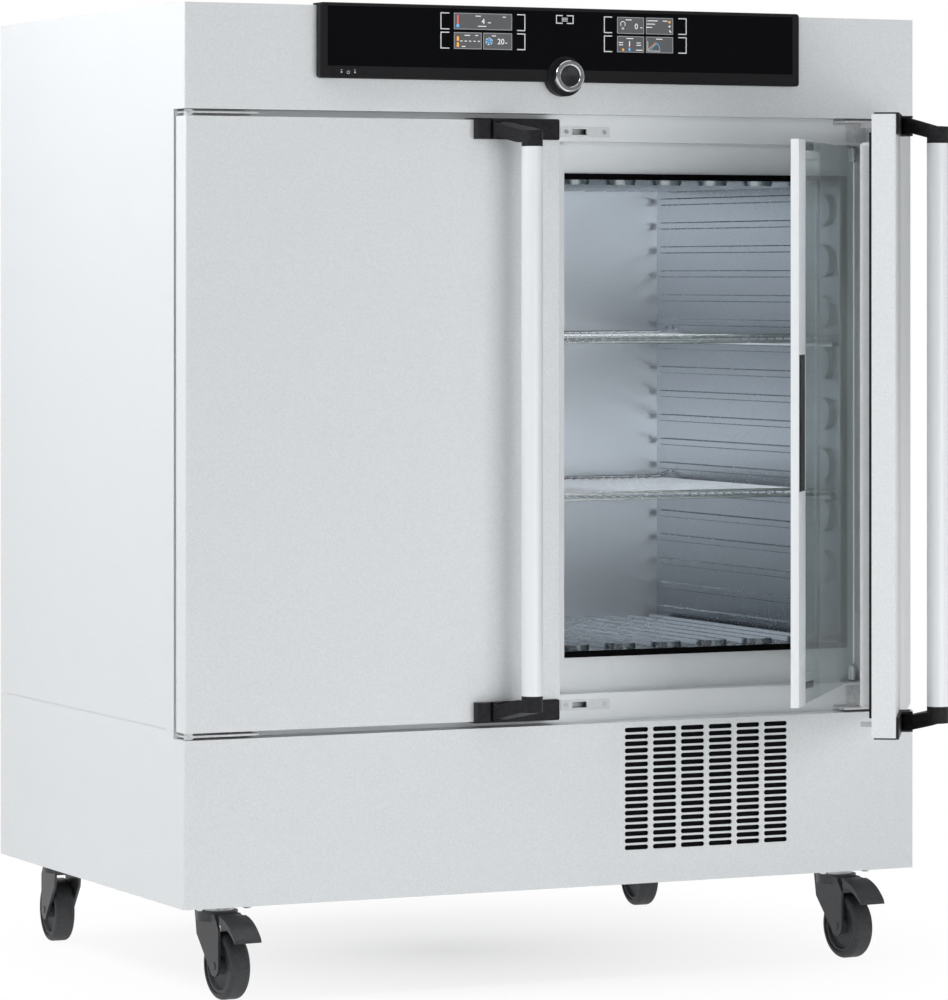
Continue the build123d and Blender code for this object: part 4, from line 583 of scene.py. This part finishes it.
def wheel_finish(name, node):
    low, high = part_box(node)
    finish = new_finish(name, (0.07, 0.07, 0.075), roughness=0.6)
    tree = finish.node_tree
    place = tree.nodes.new("ShaderNodeTexCoord")
    from_axle = math_node(tree, "SUBTRACT", "ShaderNodeVectorMath")
    from_axle.inputs[1].default_value = (low + high) / 2
    radius = math_node(tree, "LENGTH", "ShaderNodeVectorMath")
    rim = math_node(tree, "GREATER_THAN")
    rim.inputs[1].default_value = HUB_RADIUS
    tree.links.new(place.outputs["Object"], from_axle.inputs[0])
    tree.links.new(from_axle.outputs["Vector"], radius.inputs[0])
    tree.links.new(radius.outputs["Value"], rim.inputs[0])
    hub = tone(finish, dark=(0.070, 0.072, 0.076), light=(0.095, 0.097, 0.102), size_mm=3.0)
    tyre = tone(finish, dark=(0.030, 0.031, 0.033), light=(0.048, 0.049, 0.052), size_mm=5.0)
    both = tree.nodes.new("ShaderNodeMix")
    both.data_type = "RGBA"
    tree.links.new(rim.outputs["Value"], both.inputs["Factor"])
    tree.links.new(hub.outputs["Color"], both.inputs["A"])
    tree.links.new(tyre.outputs["Color"], both.inputs["B"])
    tree.links.new(both.outputs["Result"], tree.nodes["Principled BSDF"].inputs["Base Color"])
    relief(finish, depth_mm=0.04, size_mm=0.8)
    return finish


for corner in ("front_left", "front_right", "rear_left", "rear_right"):
    dress(wheel_finish(corner + "_wheel_rubber", corner + "_wheel"), corner + "_wheel")


# Coils, fans, fan motor, compressor and electronics box, screwed in behind the liner, in the
# base and on top of the foam. They are bare and coated sheet fins, moulded plastic, enamel and
# folded sheet, and are seen only through the grille and the rear slots.

fins = new_finish("bare_fins", (0.55, 0.56, 0.57), roughness=0.40, metallic=1.0)
tone(fins, dark=(0.48, 0.49, 0.50), light=(0.64, 0.65, 0.66), size_mm=2.0)
dress(fins, "evaporator")

dark_fins = new_finish("coated_fins", (0.03, 0.03, 0.032), roughness=0.5)
tone(dark_fins, dark=(0.022, 0.022, 0.024), light=(0.045, 0.045, 0.048), size_mm=2.0)
dress(dark_fins, "condenser")

fan_plastic = new_finish("fan_plastic", (0.03, 0.03, 0.034), roughness=0.40)
tone(fan_plastic, dark=(0.024, 0.024, 0.027), light=(0.042, 0.042, 0.046), size_mm=6.0)
dress(fan_plastic, "fan_impeller", "condenser_fan")

shell_enamel = new_finish("compressor_enamel", (0.02, 0.02, 0.022), roughness=0.30)
tone(shell_enamel, dark=(0.015, 0.015, 0.016), light=(0.030, 0.030, 0.032), size_mm=8.0)
relief(shell_enamel, depth_mm=0.08, size_mm=1.5)
dress(shell_enamel, "compressor", "fan_motor")

board_box = new_finish("electronics_box", (0.40, 0.42, 0.44), roughness=0.45, metallic=0.7)
tone(board_box, dark=(0.36, 0.38, 0.40), light=(0.46, 0.48, 0.50), size_mm=10.0)
dress(board_box, "control_unit")


# Near-black mat behind part of the plinth's slots, and the catch boxes behind the keepers' slots.
# The mat is painted shade: a dark, fibre-textured sheet that darkens what shows through the slots;
# the boxes are pale folded sheet.
# Places are in millimetres.

MAT_X, MAT_Y, MAT_Z = (100.0, 395.0), (-386.0, -384.5), (192.0, 381.0)
CATCH_FROM_MIDDLE = (34.0, 66.0)
CATCH_Y = (-336.0, -334.8)
HALF_CATCH_HEIGHT = 6.0
KEEPER_Z = (1283.5, 413.5)
SIDES = (-1, 1)

# Painted shade: the mat's near-black colour stands for the shade behind the slots.
shade_mat_finish = new_finish("dark_mat_painted_shade", (0.006, 0.006, 0.007), roughness=0.9, gloss=0.1)
tone(shade_mat_finish, dark=(0.004, 0.004, 0.005), light=(0.010, 0.010, 0.011), size_mm=1.2)
relief(shade_mat_finish, depth_mm=0.2, size_mm=0.9)
mat_slab = bmesh.new()
slab(mat_slab, *MAT_X, *MAT_Y, *MAT_Z)
finish_piece("dark_mat_painted_shade", mat_slab, shade_mat_finish, "cabinet")

catches = bmesh.new()
for z in KEEPER_Z:
    for side in SIDES:
        x0, x1 = sorted(side * x for x in CATCH_FROM_MIDDLE)
        slab(catches, x0, x1, *CATCH_Y, z - HALF_CATCH_HEIGHT, z + HALF_CATCH_HEIGHT)
finish_piece("catch_boxes", catches, keeper_coat, "cabinet")


# Fasteners: domed screws in keepers, hinge plates and rear panel, hex bolts under the caster
# plates. Zinc-plated steel; each head has a rounded edge and a round socket.
# Places and sizes are in millimetres.

DOME = 0.45
SOCKET_MARGIN, SOCKET_BEVEL, SOCKET_DEPTH = 0.28, 0.06, 0.5
HEAD_TURNS = {
    "front": Matrix.Rotation(math.pi / 2, 3, "X"),
    "back": Matrix.Rotation(-math.pi / 2, 3, "X"),
    "down": Matrix.Rotation(math.pi, 3, "X"),
}
KEEPER_SCREWS_X, KEEPER_FACE_Y = (27.5, 92.0), -353.5
HINGE_SCREWS_X, HINGE_SCREWS_Z, HINGE_FACE_Y = (521.0, 543.0), (1287.5, 411.5), -352.0
REAR_FACE_Y = 390.5
REAR_EDGES_X, REAR_EDGE_SCREWS_Z = (-590.0, 590.0), (170.0, 480.0, 800.0, 1120.0, 1425.0)
REAR_ENDS_Z, REAR_END_SCREWS_X = (160.0, 1432.0), (-300.0, 0.0, 300.0)
CASTER_PLACES = ((-524, -304), (524, -304), (-524, 344), (524, 344))
BOLTS_FROM_SWIVEL_X, BOLTS_FROM_SWIVEL_Y, BOLT_Z = (-37, 37), (-27, 27), 136.0

bright_zinc = new_finish("screw_zinc", (0.66, 0.67, 0.68), roughness=0.28, metallic=1.0)
tone(bright_zinc, dark=(0.58, 0.59, 0.60), light=(0.76, 0.77, 0.78), size_mm=1.2)


def screw(bm, x, y, z, radius, rise, turn="front", sides=20):
    earlier = set(bm.verts)
    made = bmesh.ops.create_cone(bm, cap_ends=True, segments=sides, depth=rise * MM,
                                 radius1=radius * MM, radius2=radius * MM)["verts"]
    bmesh.ops.translate(bm, verts=made, vec=(0, 0, rise * MM / 2))
    top = next(f for v in made for f in v.link_faces if f.normal.z > 0.9)
    dome = bmesh.ops.bevel(bm, geom=list(top.edges), offset=rise * DOME * MM, segments=3,
                           profile=0.5, affect="EDGES", material=-1)
    faces = {f for v in dome["verts"] for f in v.link_faces}
    cap = max(faces, key=lambda f: (len(f.verts), f.calc_center_median().z))
    bmesh.ops.inset_individual(bm, faces=[cap], thickness=radius * SOCKET_MARGIN * MM, depth=0)
    bmesh.ops.inset_individual(bm, faces=[cap], thickness=radius * SOCKET_BEVEL * MM,
                               depth=-rise * SOCKET_DEPTH * MM)
    head = [v for v in bm.verts if v not in earlier]
    bmesh.ops.rotate(bm, verts=head, cent=(0, 0, 0), matrix=HEAD_TURNS[turn])
    bmesh.ops.translate(bm, verts=head, vec=(x * MM, y * MM, z * MM))


screws = bmesh.new()
for z in KEEPER_Z:
    for x in KEEPER_SCREWS_X:
        for side in SIDES:
            screw(screws, side * x, KEEPER_FACE_Y, z, radius=3.4, rise=1.4)
for z in HINGE_SCREWS_Z:
    for x in HINGE_SCREWS_X:
        for side in SIDES:
            screw(screws, side * x, HINGE_FACE_Y, z, radius=3.0, rise=1.0)
for z in REAR_EDGE_SCREWS_Z:
    for x in REAR_EDGES_X:
        screw(screws, x, REAR_FACE_Y, z, radius=4.0, rise=1.8, turn="back")
for x in REAR_END_SCREWS_X:
    for z in REAR_ENDS_Z:
        screw(screws, x, REAR_FACE_Y, z, radius=4.0, rise=1.8, turn="back")
finish_piece("panel_screws", screws, bright_zinc, "cabinet")

bolts = bmesh.new()
for x0, y0 in CASTER_PLACES:
    for dx in BOLTS_FROM_SWIVEL_X:
        for dy in BOLTS_FROM_SWIVEL_Y:
            screw(bolts, x0 + dx, y0 + dy, BOLT_Z, radius=6.5, rise=4.5, turn="down", sides=6)
finish_piece("caster_bolts", bolts, bright_zinc, "cabinet")


# Floor: a pale, matt studio floor that keeps a short shadow close to the casters.
# To camera, gloss and glass it is already half white under the object and fades to plain
# white within a metre of its middle.

FADE_FROM, FADE_TO = -1.0, 0.95
FLOOR_RADIUS = 30.0
PLAIN_WHITE = (1, 1, 1, 1)

floor_finish = new_finish("studio_floor", (0.93, 0.93, 0.93), roughness=0.9)
tree = floor_finish.node_tree
place = tree.nodes.new("ShaderNodeTexCoord")
reach = math_node(tree, "LENGTH", "ShaderNodeVectorMath")
fade = tree.nodes.new("ShaderNodeMapRange")
fade.interpolation_type = "SMOOTHSTEP"
fade.inputs["From Min"].default_value = FADE_FROM
fade.inputs["From Max"].default_value = FADE_TO
ray = tree.nodes.new("ShaderNodeLightPath")
camera_or_gloss = math_node(tree, "MAXIMUM")
any_view = math_node(tree, "MAXIMUM")
share = math_node(tree, "MULTIPLY")
white = tree.nodes.new("ShaderNodeEmission")
white.inputs["Color"].default_value = PLAIN_WHITE
mix = tree.nodes.new("ShaderNodeMixShader")
for source, target in (
    (place.outputs["Object"], reach.inputs[0]),
    (reach.outputs["Value"], fade.inputs["Value"]),
    (ray.outputs["Is Camera Ray"], camera_or_gloss.inputs[0]),
    (ray.outputs["Is Glossy Ray"], camera_or_gloss.inputs[1]),
    (camera_or_gloss.outputs["Value"], any_view.inputs[0]),
    (ray.outputs["Is Transmission Ray"], any_view.inputs[1]),
    (fade.outputs["Result"], share.inputs[0]),
    (any_view.outputs["Value"], share.inputs[1]),
    (share.outputs["Value"], mix.inputs["Fac"]),
    (tree.nodes["Principled BSDF"].outputs["BSDF"], mix.inputs[1]),
    (white.outputs["Emission"], mix.inputs[2]),
    (mix.outputs["Shader"], tree.nodes["Material Output"].inputs["Surface"]),
):
    tree.links.new(source, target)

ground = bmesh.new()
bmesh.ops.create_circle(ground, cap_ends=True, segments=96, radius=FLOOR_RADIUS)
floor_mesh = bpy.data.meshes.new("studio_floor")
ground.to_mesh(floor_mesh)
ground.free()
floor_mesh.materials.append(floor_finish)
floor = bpy.data.objects.new("studio_floor", floor_mesh)
bpy.context.scene.collection.objects.link(floor)


# Light: a weak even surround, soft lamps from the left, the front, behind and above, and a
# faint one at the right. Two small ones stand for the light that the chamber's walls throw
# back. Camera and glass see the surround as white. Places and sizes are in metres, power in watts.

SURROUND_COLOUR, SURROUND_STRENGTH = (0.95, 0.97, 1.0, 1), 0.19

world = bpy.data.worlds.new("studio")
bpy.context.scene.world = world
world.use_nodes = True
sky = world.node_tree
surround = sky.nodes["Background"]
surround.inputs["Color"].default_value = SURROUND_COLOUR
surround.inputs["Strength"].default_value = SURROUND_STRENGTH
backdrop = sky.nodes.new("ShaderNodeBackground")
backdrop.inputs["Color"].default_value = PLAIN_WHITE
backdrop.inputs["Strength"].default_value = 1.0
ray = sky.nodes.new("ShaderNodeLightPath")
camera_or_glass = math_node(sky, "MAXIMUM")
mix = sky.nodes.new("ShaderNodeMixShader")
for source, target in (
    (ray.outputs["Is Camera Ray"], camera_or_glass.inputs[0]),
    (ray.outputs["Is Transmission Ray"], camera_or_glass.inputs[1]),
    (camera_or_glass.outputs["Value"], mix.inputs["Fac"]),
    (surround.outputs["Background"], mix.inputs[1]),
    (backdrop.outputs["Background"], mix.inputs[2]),
    (mix.outputs["Shader"], sky.nodes["World Output"].inputs["Surface"]),
):
    sky.links.new(source, target)


def lamp(name, place, aim, size, power, in_gloss=True):
    light = bpy.data.lights.new(name, "AREA")
    light.shape = "RECTANGLE"
    light.size, light.size_y = size
    light.energy = power
    holder = bpy.data.objects.new(name, light)
    bpy.context.scene.collection.objects.link(holder)
    holder.location = place
    holder.rotation_euler = (Vector(aim) - Vector(place)).to_track_quat("-Z", "Y").to_euler()
    holder.visible_glossy = in_gloss


lamp("left_softbox", place=(-2.6, -0.3, 3.0), aim=(-0.6, 0.0, 1.3), size=(1.4, 1.2), power=90)
lamp("front_softbox", place=(1.2, -5.4, 1.4), aim=(0.3, 0.0, 1.0), size=(3.0, 1.8), power=70,
     in_gloss=False)
lamp("low_softbox", place=(0.6, -3.4, 0.2), aim=(0.3, -0.3, 1.3), size=(2.6, 0.8), power=20,
     in_gloss=False)
lamp("right_softbox", place=(3.8, -3.2, 2.2), aim=(0.4, -0.4, 0.9), size=(2.0, 2.4), power=6)
lamp("rear_softbox", place=(1.6, 4.6, 2.0), aim=(0.0, 0.4, 0.8), size=(2.6, 2.0), power=60)
lamp("top_softbox", place=(0.0, -0.6, 4.2), aim=(0.0, 0.0, 0.8), size=(3.0, 3.0), power=30)
lamp("chamber_glow", place=(0.05, -0.24, 1.19), aim=(0.05, 0.30, 0.72), size=(0.8, 0.12), power=1.9)
lamp("lower_glow", place=(0.05, -0.24, 0.74), aim=(0.05, 0.30, 0.60), size=(0.8, 0.12), power=1.6)


# Camera: a level view from the left front, at the height of the upper shelf.
# The long lens and the shift give the photograph's framing. Its place is in metres.

CAMERA_PLACE = (-3.29386, -7.07350, 1.06582)
CAMERA_BEARING = math.radians(-25.376)
LENS_MM, SENSOR_MM = 177.88, 36.0
SHIFT_X, SHIFT_Y = -0.0126, -0.2247
SEES_TO = 200.0

eye = bpy.data.cameras.new("camera")
eye.sensor_width = SENSOR_MM
eye.lens = LENS_MM
eye.shift_x = SHIFT_X
eye.shift_y = SHIFT_Y
eye.clip_end = SEES_TO
camera = bpy.data.objects.new("camera", eye)
camera.location = CAMERA_PLACE
camera.rotation_euler = (math.pi / 2, 0.0, CAMERA_BEARING)
bpy.context.scene.collection.objects.link(camera)
bpy.context.scene.camera = camera
bpy.context.scene.view_settings.view_transform = "Standard"
